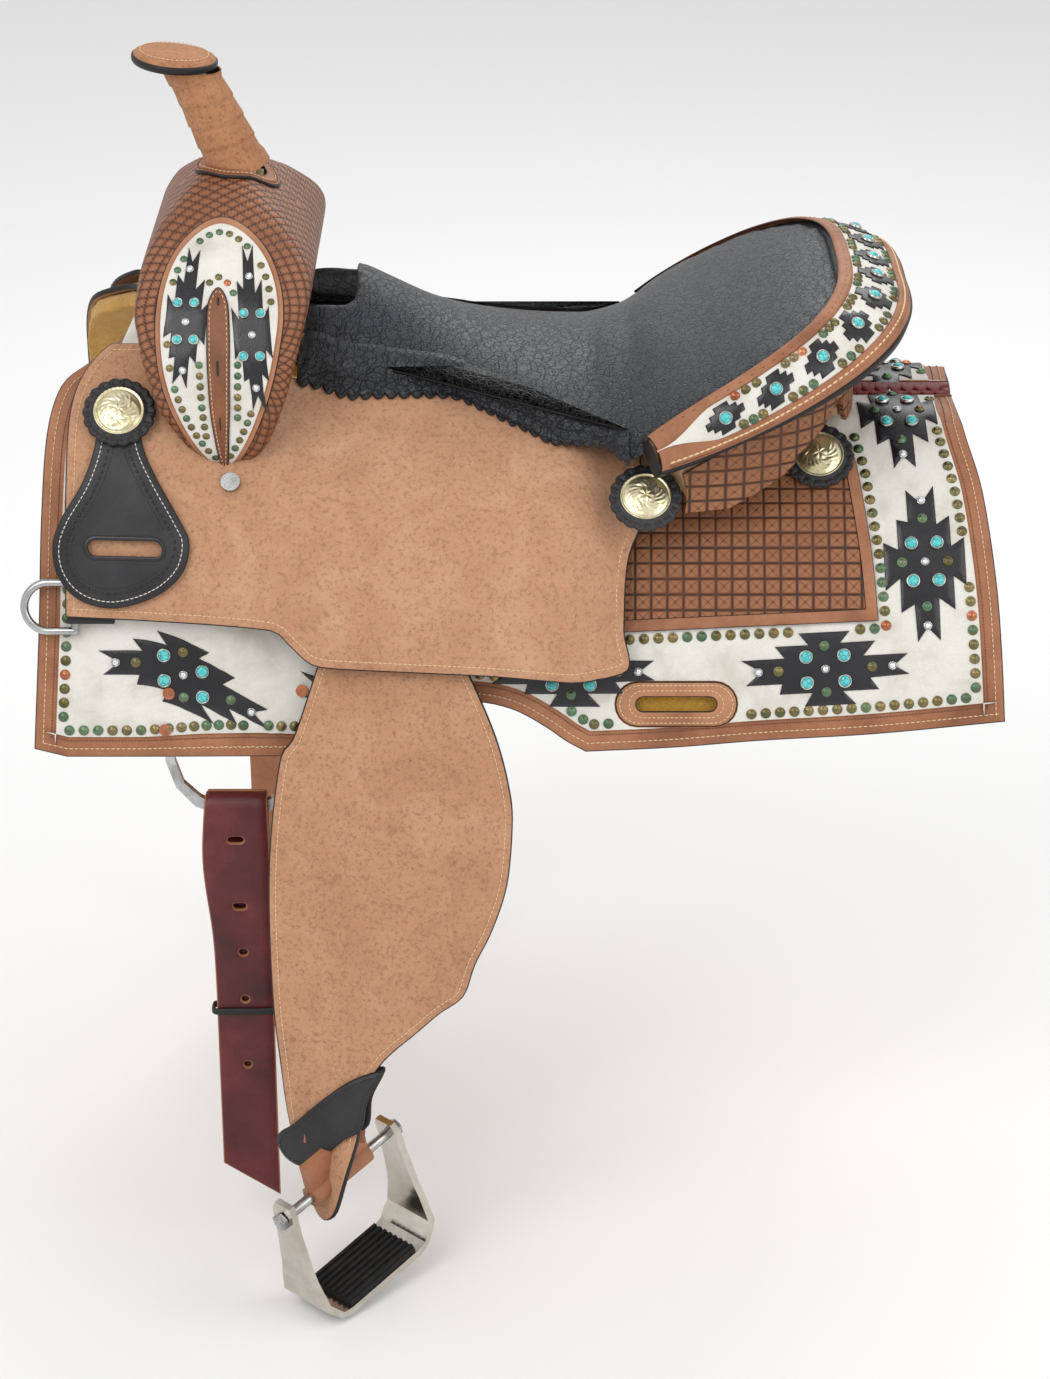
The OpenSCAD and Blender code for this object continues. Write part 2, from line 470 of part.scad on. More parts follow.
bar_near();
bar_far();
fork();
cantle_board();
horn_core();
horn_wrap();
horn_cap();
horn_binding();
horn_collar();
ground_seat();
swell_cover();
swell_overlay_near();
swell_overlay_far();
gullet_cover();
seat();
cantle_roll();
cantle_back();
skirt_near();
skirt_far();
fleece_near();
fleece_far();
overlay_near();
overlay_far();
panel_near();
panel_far();
jockey_near();
jockey_far();
spine_lacing();
slot_lining_near();
slot_lining_far();
breast_tabs();
rosettes();
conchos();
screws();
rivets();
dee_hanger_near();
dee_hanger_far();
rigging_dee_near();
rigging_dee_far();
breast_dee_near();
breast_dee_far();
latigo();
latigo_tie();
off_billet();
keeper_near();
keeper_far();
fender_near();
fender_far();
stirrup_leather_near();
stirrup_leather_far();
hobble_strap_near();
hobble_strap_far();
hobble_buckle_near();
hobble_buckle_far();
stirrup_near();
stirrup_far();
tread_near();
tread_far();
stirrup_bolt_near();
stirrup_bolt_far();
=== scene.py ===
import math
import bpy, bmesh
import numpy as np
from mathutils import Vector, Matrix, geometry
from mathutils.bvhtree import BVHTree
import json

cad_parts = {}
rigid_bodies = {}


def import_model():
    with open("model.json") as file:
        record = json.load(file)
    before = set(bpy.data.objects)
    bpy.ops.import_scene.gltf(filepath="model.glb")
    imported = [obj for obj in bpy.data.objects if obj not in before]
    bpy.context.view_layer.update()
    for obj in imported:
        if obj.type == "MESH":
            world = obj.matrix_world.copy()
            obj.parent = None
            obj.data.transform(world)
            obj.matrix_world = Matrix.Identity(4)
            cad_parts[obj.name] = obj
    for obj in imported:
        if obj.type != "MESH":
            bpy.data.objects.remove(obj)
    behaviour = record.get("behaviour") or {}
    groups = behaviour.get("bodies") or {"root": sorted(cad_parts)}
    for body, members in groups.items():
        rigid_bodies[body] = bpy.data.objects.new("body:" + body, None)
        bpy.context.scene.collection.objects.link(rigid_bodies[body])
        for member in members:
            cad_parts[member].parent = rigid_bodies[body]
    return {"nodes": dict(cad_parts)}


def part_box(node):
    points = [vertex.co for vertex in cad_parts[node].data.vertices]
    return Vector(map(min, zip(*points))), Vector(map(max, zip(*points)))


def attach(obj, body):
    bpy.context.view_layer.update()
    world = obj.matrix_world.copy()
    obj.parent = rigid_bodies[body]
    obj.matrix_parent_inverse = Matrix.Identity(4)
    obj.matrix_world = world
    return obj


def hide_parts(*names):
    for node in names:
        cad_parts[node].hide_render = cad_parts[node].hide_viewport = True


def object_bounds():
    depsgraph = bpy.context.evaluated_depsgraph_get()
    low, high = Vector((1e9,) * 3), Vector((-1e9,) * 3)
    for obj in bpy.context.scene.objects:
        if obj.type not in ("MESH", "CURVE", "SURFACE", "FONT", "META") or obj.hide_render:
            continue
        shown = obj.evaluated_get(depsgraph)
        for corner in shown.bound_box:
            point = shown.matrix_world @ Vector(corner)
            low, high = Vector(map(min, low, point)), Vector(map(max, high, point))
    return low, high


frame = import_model()
CAD_BOX = [list(map(float, v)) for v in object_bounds()]
rng = np.random.default_rng(7)

# ------------------------------------------------------------------ surfaces
SK_REAR = [(0,44),(25,50),(55,48),(85,32),(112,8),(138,-20),(160,-52),(178,-88),(192,-126),(202,-163),(206,-182)]
SK_FRONT = [(0,118),(40,116),(66,112),(90,102),(118,76),(140,46),(158,10),(174,-35),(188,-88),(201,-146),(207,-182)]
JK_REAR = [(70,76),(98,57),(128,40),(160,17),(184,-10),(200,-44),(210,-80),(218,-112),(220,-120)]
JK_FRONT = [(84,114),(112,94),(140,64),(162,30),(178,-5),(190,-45),(200,-85),(208,-125),(210,-133)]

def wf(x):
    u = min(1.0, max(0.0, (-130 - x) / 160.0))
    return u * u * (3 - 2 * u)

def smooth01(a, b, x):
    u = min(1.0, max(0.0, (x - a) / (b - a)))
    return u * u * (3 - 2 * u)

def dense(P, n=8):
    """A smooth curve through the profile points."""
    P = [np.array(p, float) for p in P]
    Q = [2 * P[0] - P[1]] + P + [2 * P[-1] - P[-2]]
    out = []
    for i in range(1, len(Q) - 2):
        a, b, c, d = Q[i - 1], Q[i], Q[i + 1], Q[i + 2]
        for k in range(n):
            t = k / n
            out.append(0.5 * ((2 * b) + (-a + c) * t + (2 * a - 5 * b + 4 * c - d) * t * t + (-a + 3 * b - 3 * c + d) * t ** 3))
    out.append(P[-1])
    return np.array(out)

class Surf:
    """A leather surface across the saddle; z picks the place along the profile."""
    def __init__(self, rear, front, zfun=None):
        self.r, self.f = dense(rear), dense(front)
        self.zfun = zfun
        self.cache = {}
    def prof(self, x):
        key = round(x)
        if key not in self.cache:
            w = wf(key)
            P = self.r * (1 - w) + self.f * w
            if self.zfun is not None:
                P = self.zfun(key, P)
            d = np.diff(P, axis=0)
            s = np.concatenate([[0], np.cumsum(np.hypot(d[:, 0], d[:, 1]))])
            t = np.gradient(P, axis=0)
            t /= np.linalg.norm(t, axis=1)[:, None]
            N = np.stack([-t[:, 1], t[:, 0]], axis=1)
            if P[0, 0] < 1:
                N[0] = (0, 1)
            self.cache[key] = (P, s, N)
        return self.cache[key]
    def at_z(self, x, z):
        """arc length at height z, on the outer falling part"""
        P, s, N = self.prof(x)
        k = int(np.argmax(P[:, 1]))
        zz = P[k:, 1][::-1]; ss = s[k:][::-1]
        return float(np.interp(z, zz, ss))
    def point(self, x, s, h, side):
        P, S, N = self.prof(x)
        y = np.interp(s, S, P[:, 0]); z = np.interp(s, S, P[:, 1])
        ny = np.interp(s, S, N[:, 0]); nz = np.interp(s, S, N[:, 1])
        if s > S[-1]:
            e = s - S[-1]
            tx, tz = N[-1][1], -N[-1][0]
            y, z = P[-1][0] + e * tx, P[-1][1] + e * tz
        n = math.hypot(ny, nz) or 1
        return Vector((x / 1000, side * (y + h * ny / n) / 1000, (z + h * nz / n) / 1000))
    def normal(self, x, s, side):
        P, S, N = self.prof(x)
        v = Vector((0, side * np.interp(s, S, N[:, 0]), np.interp(s, S, N[:, 1])))
        return v.normalized()

SKS = Surf(SK_REAR, SK_FRONT)

def jk_drop(x, P):
    """The jockey lies down on the skirt towards its rear edge."""
    w = 0.72 * smooth01(30, 78, x)
    if w <= 0:
        return P
    Q = SKS.prof(x)[0]
    out = P.copy()
    for i, (y, z) in enumerate(P):
        d = np.hypot(Q[:, 0] - y, Q[:, 1] - z)
        j = int(np.argmin(d))
        n = SKS.prof(x)[2][j]
        target = Q[j] + n * 9.0
        k = w * smooth01(0, 3, i / 4.0)
        out[i] = P[i] * (1 - k) + target * k
    return out

JKS = Surf(JK_REAR, JK_FRONT, jk_drop)

# ------------------------------------------------------------------ outlines
def resample(P, step, closed=True):
    P = [np.array(p, float) for p in P]
    if closed:
        P = P + [P[0]]
    out = []
    for a, b in zip(P, P[1:]):
        n = max(1, int(round(np.linalg.norm(b - a) / step)))
        for k in range(n):
            out.append(a + (b - a) * k / n)
    if not closed:
        out.append(P[-1])
    return out

def spline(P, step=4.0, closed=True, corners=()):
    """Catmull-Rom through P; the indices in corners stay sharp."""
    P = [np.array(p, float) for p in P]
    n = len(P)
    out = []
    rngn = range(n) if closed else range(n - 1)
    for i in rngn:
        b, c = P[i], P[(i + 1) % n]
        a = P[(i - 1) % n] if (closed or i > 0) else 2 * b - c
        d = P[(i + 2) % n] if (closed or i + 2 < n) else 2 * c - b
        if i in corners:
            a = 2 * b - c
        if (i + 1) % n in corners:
            d = 2 * c - b
        m = max(1, int(round(np.linalg.norm(c - b) / step)))
        ta, tb = (c - a) * 0.5, (d - b) * 0.5
        L = np.linalg.norm(c - b)
        for v in (ta, tb):
            l = np.linalg.norm(v)
            if l > L * 1.2:
                v *= L * 1.2 / l
        for k in range(m):
            t = k / m
            h0 = 2*t**3 - 3*t**2 + 1; h1 = t**3 - 2*t**2 + t; h2 = -2*t**3 + 3*t**2; h3 = t**3 - t**2
            out.append(b * h0 + ta * h1 + c * h2 + tb * h3)
    if not closed:
        out.append(P[-1])
    return out

def area(P):
    return 0.5 * sum(P[i][0] * P[(i + 1) % len(P)][1] - P[(i + 1) % len(P)][0] * P[i][1] for i in range(len(P)))

def inset(P, d):
    """Moves a closed outline inwards by d."""
    P = [np.array(p, float) for p in P]
    if area(P) < 0:
        P = P[::-1]
    n = len(P); out = []
    for i in range(n):
        a, b, c = P[i - 1], P[i], P[(i + 1) % n]
        u = b - a; v = c - b
        u /= (np.linalg.norm(u) or 1); v /= (np.linalg.norm(v) or 1)
        n1 = np.array([-u[1], u[0]]); n2 = np.array([-v[1], v[0]])
        m = n1 + n2; k = 1 + float(n1 @ n2)
        k = max(k, 0.5)
        out.append(b + m * d / k)
    return out

def walk(P, step, closed=True, phase=0.0):
    """Evenly spaced points on a polyline, with directions."""
    P = [np.array(p, float) for p in P]
    if closed:
        P = P + [P[0]]
    seg = [np.linalg.norm(b - a) for a, b in zip(P, P[1:])]
    L = sum(seg)
    n = max(1, int(round(L / step)))
    ds = L / n
    out = []; pos = phase * ds; acc = 0.0; i = 0
    while pos < L - 1e-6:
        while i < len(seg) - 1 and acc + seg[i] < pos:
            acc += seg[i]; i += 1
        t = (pos - acc) / (seg[i] or 1)
        p = P[i] + (P[i + 1] - P[i]) * t
        d = (P[i + 1] - P[i]) / (seg[i] or 1)
        out.append((p, d)); pos += ds
    return out

def inside(P, x, y):
    r = False; n = len(P); j = n - 1
    for i in range(n):
        xi, yi = P[i][0], P[i][1]; xj, yj = P[j][0], P[j][1]
        if (yi > y) != (yj > y) and x < (xj - xi) * (y - yi) / (yj - yi) + xi:
            r = not r
        j = i
    return r

def inside_many(P, X, Y):
    X = np.asarray(X); Y = np.asarray(Y)
    r = np.zeros(len(X), bool); n = len(P); j = n - 1
    for i in range(n):
        xi, yi = P[i][0], P[i][1]; xj, yj = P[j][0], P[j][1]
        if yi != yj:
            r ^= ((yi > Y) != (yj > Y)) & (X < (xj - xi) * (Y - yi) / (yj - yi) + xi)
        j = i
    return r

# ------------------------------------------------------------------ mesh helpers
def link(me, name, mats):
    ob = bpy.data.objects.new(name, me)
    bpy.context.scene.collection.objects.link(ob)
    for m in (mats if isinstance(mats, (list, tuple)) else [mats]):
        me.materials.append(m)
    for p in me.polygons:
        p.use_smooth = True
    return ob

def mesh(name, verts, faces, mats, midx=None, uv=None):
    me = bpy.data.meshes.new(name)
    me.from_pydata([tuple(v) for v in verts], [], faces)
    me.update()
    if midx is not None:
        me.polygons.foreach_set("material_index", midx)
    if uv is not None:
        lay = me.uv_layers.new(name="UVMap")
        idx = np.zeros(len(me.loops), dtype=np.int32)
        me.loops.foreach_get("vertex_index", idx)
        lay.data.foreach_set("uv", np.asarray(uv, dtype=np.float32)[idx].ravel())
    return link(me, name, mats)

def plate(name, outline, to3d, t, mats, grid=6.0, holes=(), lift=None, r=0.9, h0=0.0, under=True):
    """A leather piece: a flat outline (mm) cut out, curved by to3d(u, v, h), t thick with a rounded, dyed edge.
    mats = [face, edge, back]. lift(u, v) adds height to the face."""
    rings = [list(outline)] + [list(h) for h in holes]
    if area(rings[0]) < 0:
        rings[0] = rings[0][::-1]
    ins = [inset(rings[0], r)]
    for h in rings[1:]:
        hh = h if area(h) > 0 else h[::-1]
        ins.append(inset(hh, -r))
    base = [rings[0]] + [(h if area(h) > 0 else h[::-1]) for h in rings[1:]]
    pts = []; edges = []
    for R in ins:
        k = len(pts)
        pts += [Vector((p[0], p[1])) for p in R]
        n = len(R)
        edges += [(k + i, k + (i + 1) % n) for i in range(n)]
    nb = len(pts)
    xs = [p[0] for p in ins[0]]; ys = [p[1] for p in ins[0]]
    g = grid
    O2 = inset(ins[0], g * 0.45)
    H2 = [inset(R, -g * 0.45) for R in ins[1:]]
    nx = int((max(xs) - min(xs)) / g) + 1; ny = int((max(ys) - min(ys)) / g) + 1
    gx, gy = np.meshgrid(min(xs) + np.arange(nx + 1) * g, min(ys) + np.arange(ny + 1) * g)
    gx = gx.ravel() + 0.013; gy = gy.ravel() + 0.017
    ok = inside_many(O2, gx, gy)
    for H in H2:
        ok &= ~inside_many(H, gx, gy)
    pts += [Vector((float(a), float(b))) for a, b in zip(gx[ok], gy[ok])]
    ov, oe, of_, ove, oee, ofe = geometry.delaunay_2d_cdt(pts, edges, [], 0, 1e-5)
    cx = [sum(ov[i][0] for i in f) / len(f) for f in of_]; cy = [sum(ov[i][1] for i in f) / len(f) for f in of_]
    ok = inside_many(ins[0], cx, cy)
    for R in ins[1:]:
        ok &= ~inside_many(R, cx, cy)
    keep = [tuple(f) for f, k in zip(of_, ok) if k]
    verts = []; uv = []; faces = []; midx = []
    for p in ov:
        L = lift(p[0], p[1]) if lift else 0.0
        verts.append(to3d(p[0], p[1], h0 + t + L)); uv.append((p[0] / 1000, p[1] / 1000))
    inv = {}
    for i, src in enumerate(ove):
        for k in src:
            inv[k] = i
    flip = None
    if keep:
        f = keep[0]
        a, b, c = (verts[i] for i in f[:3])
        c0 = to3d(ov[f[0]][0], ov[f[0]][1], h0)
        flip = (b - a).cross(c - a).dot(a - c0) < 0
    for f in keep:
        faces.append(f[::-1] if flip else f); midx.append(0)
    # rim: edge at t - r, then t*0.5, then 0
    k0 = 0
    rim_start = []
    for R, I in zip(base, ins):
        n = len(R)
        levels = [t - r * 0.75, r * 0.5, 0.0]
        insets = [0.0, 0.0, 0.35]
        prev = [inv[k0 + i] for i in range(n)]
        sign = 1 if R is base[0] else -1
        for lv, dd in zip(levels, insets):
            RR = inset(R, dd * sign) if dd else R
            cur = []
            for i in range(n):
                verts.append(to3d(RR[i][0], RR[i][1], h0 + lv)); uv.append((RR[i][0] / 1000, RR[i][1] / 1000))
                cur.append(len(verts) - 1)
            for i in range(n):
                q = (prev[i], prev[(i + 1) % n], cur[(i + 1) % n], cur[i])
                if (R is base[0]) == bool(flip):
                    q = q
                else:
                    q = q[::-1]
                faces.append(q); midx.append(1)
            prev = cur
        rim_start.append(prev)
        k0 += n
    if under:
        m = {}
        for i, p in enumerate(ov):
            verts.append(to3d(p[0], p[1], h0)); uv.append((p[0] / 1000, p[1] / 1000)); m[i] = len(verts) - 1
        for f in keep:
            g2 = tuple(m[i] for i in f)
            faces.append(g2 if flip else g2[::-1]); midx.append(2 if len(mats) > 2 else 1)
        k0 = 0
        for R, prev in zip(base, rim_start):
            n = len(R)
            for i in range(n):
                a, b = m[inv[k0 + i]], m[inv[k0 + (i + 1) % n]]
                q = (prev[i], prev[(i + 1) % n], b, a)
                if (R is base[0]) != bool(flip):
                    q = q[::-1]
                faces.append(q); midx.append(1)
            k0 += n
    return mesh(name, verts, faces, mats, midx, uv)

def join(name, obs):
    obs = [o for o in obs if o is not None]
    bpy.ops.object.select_all(action="DESELECT")
    for o in obs:
        o.select_set(True)
    bpy.context.view_layer.objects.active = obs[0]
    bpy.ops.object.join()
    obs[0].name = name; obs[0].data.name = name
    return obs[0]

class Many:
    """Collects many small copies of a template in one mesh."""
    def __init__(self, name, mats):
        self.name, self.mats = name, mats; self.v = []; self.f = []; self.m = []
    def add(self, verts, faces, M, mat=0):
        k = len(self.v)
        self.v += [M @ v for v in verts]
        flip = M.to_3x3().determinant() < 0
        self.f += [tuple(k + i for i in (f[::-1] if flip else f)) for f in faces]
        self.m += [mat] * len(faces) if isinstance(mat, int) else list(mat)
    def done(self):
        return mesh(self.name, self.v, self.f, self.mats, self.m)

def revolve(profile, n=12, close=True):
    """verts and faces of a small turned piece: profile = [(radius, height)], mm"""
    V = []; F = []
    rows = []
    for r, h in profile:
        if r < 1e-6:
            rows.append([len(V)]); V.append(Vector((0, 0, h / 1000)))
        else:
            rows.append(list(range(len(V), len(V) + n)))
            V += [Vector((r / 1000 * math.cos(2 * math.pi * i / n), r / 1000 * math.sin(2 * math.pi * i / n), h / 1000)) for i in range(n)]
    for a, b in zip(rows, rows[1:]):
        for i in range(n):
            j = (i + 1) % n
            if len(a) == 1 and len(b) == 1: continue
            if len(b) == 1: F.append((a[i], a[j], b[0]))
            elif len(a) == 1: F.append((a[0], b[j], b[i]))
            else: F.append((a[i], a[j], b[j], b[i]))
    if len(rows[0]) > 1:
        F.append(tuple(rows[0][::-1]))
    return V, F

def capsule(L, w, h, n=6, m=5):
    """one stitch: a short rounded thread, L long, w wide, h high, mm"""
    V = []; F = []; rows = []
    for i in range(m):
        t = -1 + 2 * i / (m - 1)
        k = math.sqrt(max(0.0, 1 - abs(t) ** 3.0)) if abs(t) < 0.999 else 0.0
        k = max(k, 0.25)
        row = []
        for j in range(n):
            a = 2 * math.pi * j / n
            V.append(Vector((t * L / 2000, w / 2000 * k * math.cos(a), h / 2000 * (k * math.sin(a)) + h * 0.2 / 1000 - abs(t) ** 2 * h * 0.35 / 1000)))
            row.append(len(V) - 1)
        rows.append(row)
    for a, b in zip(rows, rows[1:]):
        for j in range(n):
            F.append((a[j], b[j], b[(j + 1) % n], a[(j + 1) % n]))
    F.append(tuple(rows[0])); F.append(tuple(rows[-1][::-1]))
    return V, F

def frame_at(to3d, u, v, h, du, dv):
    """A matrix on a curved surface: x along (du, dv), z outwards."""
    p = to3d(u, v, h)
    e = 0.8
    x = (to3d(u + du * e, v + dv * e, h) - to3d(u - du * e, v - dv * e, h)).normalized()
    z0 = (to3d(u, v, h + 1.0) - p).normalized()
    y = z0.cross(x).normalized()
    z = x.cross(y).normalized()
    M = Matrix((x, y, z)).transposed().to_4x4()
    M.translation = p
    return M

ST_V, ST_F = capsule(3.0, 0.75, 0.75)
def stitches(name, path, to3d, h, mat, step=3.7, L=3.0, w=0.75, closed=True, keep=None, jitter=0.04):
    M = Many(name, [mat])
    V, F = capsule(L, w, w)
    for p, d in walk(path, step, closed, 0.5):
        if keep and not keep(p[0], p[1]):
            continue
        a = rng.normal() * jitter
        dx, dy = d[0] * math.cos(a) - d[1] * math.sin(a), d[0] * math.sin(a) + d[1] * math.cos(a)
        M.add(V, F, frame_at(to3d, p[0], p[1], h, dx, dy))
    return M.done() if M.v else None

# ------------------------------------------------------------------ materials
def srgb(r, g, b):
    f = lambda c: (c / 255 / 12.92) if c / 255 <= 0.04045 else ((c / 255 + 0.055) / 1.055) ** 2.4
    return (f(r), f(g), f(b), 1.0)

class Mat:
    """A small node-tree writer."""
    def __init__(self, name):
        self.m = bpy.data.materials.new(name); self.m.use_nodes = True
        self.t = self.m.node_tree; self.n = self.t.nodes; self.l = self.t.links
        self.p = self.n["Principled BSDF"]
        self.tc = self.n.new("ShaderNodeTexCoord")
    def co(self, scale=(1, 1, 1), kind="Object", rot=(0, 0, 0)):
        mp = self.n.new("ShaderNodeMapping")
        mp.inputs["Scale"].default_value = scale; mp.inputs["Rotation"].default_value = rot
        self.l.new(self.tc.outputs[kind], mp.inputs["Vector"])
        return mp.outputs["Vector"]
    def noise(self, scale, detail=4, rough=0.55, co=None, dist=0.0):
        x = self.n.new("ShaderNodeTexNoise")
        x.inputs["Scale"].default_value = scale; x.inputs["Detail"].default_value = detail
        x.inputs["Roughness"].default_value = rough; x.inputs["Distortion"].default_value = dist
        self.l.new(co if co is not None else self.co(), x.inputs["Vector"])
        return x.outputs["Fac"]
    def voro(self, scale, feature="DISTANCE_TO_EDGE", co=None, rnd=1.0):
        x = self.n.new("ShaderNodeTexVoronoi"); x.feature = feature
        x.inputs["Scale"].default_value = scale; x.inputs["Randomness"].default_value = rnd
        self.l.new(co if co is not None else self.co(), x.inputs["Vector"])
        return x.outputs["Distance"]
    def ramp(self, src, stops, interp="LINEAR"):
        x = self.n.new("ShaderNodeValToRGB"); r = x.color_ramp; r.interpolation = interp
        while len(r.elements) > 1: r.elements.remove(r.elements[-1])
        for i, (p, c) in enumerate(stops):
            e = r.elements[0] if i == 0 else r.elements.new(p)
            e.position = p; e.color = c if len(c) == 4 else (*c, 1)
        self.l.new(src, x.inputs["Fac"])
        return x.outputs["Color"]
    def val(self, src, a, b, lo=0.0, hi=1.0):
        x = self.n.new("ShaderNodeMapRange")
        x.inputs["From Min"].default_value = lo; x.inputs["From Max"].default_value = hi
        x.inputs["To Min"].default_value = a; x.inputs["To Max"].default_value = b
        self.l.new(src, x.inputs["Value"])
        return x.outputs["Result"]
    def math(self, op, a, b=None):
        x = self.n.new("ShaderNodeMath"); x.operation = op
        for i, v in enumerate((a, b)):
            if v is None: continue
            if isinstance(v, (int, float)): x.inputs[i].default_value = v
            else: self.l.new(v, x.inputs[i])
        return x.outputs[0]
    def mix(self, fac, a, b, blend="MIX"):
        x = self.n.new("ShaderNodeMix"); x.data_type = "RGBA"; x.blend_type = blend
        for key, v in ((0, fac), (6, a), (7, b)):
            if isinstance(v, (int, float, tuple)): x.inputs[key].default_value = v
            else: self.l.new(v, x.inputs[key])
        return x.outputs[2]
    def set(self, **kw):
        for k, v in kw.items():
            s = self.p.inputs[k.replace("_", " ")]
            if hasattr(v, "is_linked") or isinstance(v, bpy.types.NodeSocket): self.l.new(v, s)
            else: s.default_value = v
        return self
    def bump(self, src, strength=0.3, dist=0.0006, then=None):
        x = self.n.new("ShaderNodeBump")
        x.inputs["Strength"].default_value = strength; x.inputs["Distance"].default_value = dist
        self.l.new(src, x.inputs["Height"])
        if then is not None: self.l.new(then, x.inputs["Normal"])
        self.l.new(x.outputs["Normal"], self.p.inputs["Normal"])
        return x.outputs["Normal"]

def leather(name, col, dark, light=None, grain=900, rough=(0.45, 0.65), bump=0.25, mott=14, spec=0.35, sheen=0.0, wear=0.35):
    """Smooth-grained, oiled leather: pores, mottling, faint scuffs."""
    m = Mat(name)
    light = light or tuple(min(1, c * 1.25) for c in col[:3]) + (1,)
    big = m.noise(mott, 5, 0.6, dist=0.3)
    c = m.ramp(big, [(0.25, dark), (0.5, col), (0.78, light)])
    fine = m.noise(grain * 0.35, 6, 0.7)
    c = m.mix(m.val(fine, 0, wear, 0.45, 0.75), c, dark, "MIX")
    m.set(Base_Color=c)
    cells = m.voro(grain)
    scuff = m.noise(60, 8, 0.7)
    m.set(Roughness=m.val(scuff, rough[0], rough[1], 0.3, 0.7), Specular_IOR_Level=spec)
    if sheen: m.set(Sheen_Weight=sheen, Sheen_Roughness=0.5)
    n1 = m.bump(m.val(cells, 0, 1, 0, 0.25), bump, 0.00025)
    m.bump(m.noise(160, 5, 0.6), bump * 0.6, 0.0007, n1)
    return m.m

def make_suede(name, col, dark, light):
    m = Mat(name)
    nap = m.noise(26, 7, 0.62, dist=0.8)
    c = m.ramp(nap, [(0.15, dark), (0.5, col), (0.85, light)])
    grit = m.noise(290, 8, 0.8)
    c = m.mix(m.val(grit, 0.0, 0.7, 0.5, 0.62), c, tuple(v * 0.62 for v in dark[:3]) + (1,))
    c = m.mix(m.val(m.noise(620, 6, 0.75), 0.0, 0.5, 0.53, 0.7), c, light)
    hair = m.noise(1900, 3, 0.7)
    m.set(Base_Color=c, Roughness=m.val(nap, 0.84, 0.97), Specular_IOR_Level=0.12, Sheen_Weight=0.08, Sheen_Roughness=0.6)
    n1 = m.bump(hair, 0.5, 0.0003)
    m.bump(grit, 0.6, 0.0011, n1)
    return m.m

suede = make_suede("suede", srgb(188, 142, 110), srgb(172, 126, 95), srgb(204, 162, 130))
suede_dark = make_suede("suede_fender", srgb(184, 138, 106), srgb(164, 118, 88), srgb(200, 156, 124))
horn_suede = make_suede("horn_wrap_suede", srgb(176, 124, 88), srgb(152, 104, 72), srgb(192, 144, 106))
tan = leather("tan_leather", srgb(156, 104, 74), srgb(124, 78, 52), srgb(174, 122, 88), mott=22)
tan_light = leather("tan_leather_light", srgb(168, 118, 86), srgb(140, 92, 64), srgb(186, 138, 102), mott=22)
brown_tooled = leather("tooled_brown", srgb(122, 76, 50), srgb(82, 46, 28), srgb(146, 94, 62), mott=30, rough=(0.38, 0.6))
black_edge = leather("black_edge", srgb(30, 26, 25), srgb(18, 16, 16), srgb(44, 38, 36), rough=(0.35, 0.55), wear=0.2)
black_leather = leather("black_leather", srgb(38, 36, 38), srgb(22, 21, 23), srgb(56, 54, 56), grain=700, rough=(0.34, 0.52), bump=0.3, wear=0.2)
black_gloss = leather("black_motif", srgb(26, 26, 30), srgb(16, 16, 19), srgb(40, 40, 46), grain=600, rough=(0.2, 0.36), spec=0.5, bump=0.16, wear=0.2)
white_leather = leather("white_leather", srgb(218, 215, 207), srgb(196, 190, 178), srgb(226, 224, 218), mott=34, rough=(0.38, 0.58), wear=0.2, bump=0.5)
burgundy = leather("burgundy_leather", srgb(92, 26, 32), srgb(60, 15, 20), srgb(120, 44, 46), rough=(0.3, 0.5), spec=0.45, mott=20)
flesh = leather("flesh_side", srgb(176, 136, 100), srgb(146, 106, 74), srgb(196, 158, 124), rough=(0.75, 0.92), spec=0.15, bump=0.5)
wood = leather("tree_rawhide", srgb(196, 168, 124), srgb(160, 130, 88), srgb(214, 190, 150), rough=(0.45, 0.65), mott=9)

def make_swell():
    """Basket-stamped leather: a woven lattice of raised crescents."""
    m = Mat("swell_basket")
    sx = m.n.new("ShaderNodeSeparateXYZ"); m.l.new(m.tc.outputs["UV"], sx.inputs[0])
    P, Q = sx.outputs[0], sx.outputs[1]
    v = m.math("MULTIPLY", m.math("ADD", P, Q), 3.1416 / 0.0125)
    u = m.math("MULTIPLY", m.math("SUBTRACT", P, Q), 3.1416 / 0.0125)
    a = m.math("ABSOLUTE", m.math("SINE", v)); b = m.math("ABSOLUTE", m.math("SINE", u))
    s = m.math("MULTIPLY", a, b)
    wv = m.math("ADD", m.math("POWER", s, 0.6), m.math("MULTIPLY", m.math("SINE", m.math("MULTIPLY", m.math("ADD", u, v), 5.0)), 0.12))
    c = m.ramp(wv, [(0.05, srgb(60, 32, 19)), (0.4, srgb(118, 72, 46)), (0.9, srgb(150, 98, 66))])
    big = m.noise(20, 5, 0.6)
    c = m.mix(m.val(big, 0, 0.45, 0.4, 0.75), c, srgb(96, 54, 32))
    m.set(Base_Color=c, Roughness=m.val(m.noise(80, 6, 0.6), 0.36, 0.56), Specular_IOR_Level=0.4)
    n1 = m.bump(wv, 0.9, 0.0011)
    m.bump(m.noise(500, 4, 0.6), 0.2, 0.0003, n1)
    return m.m
swell_mat = make_swell()

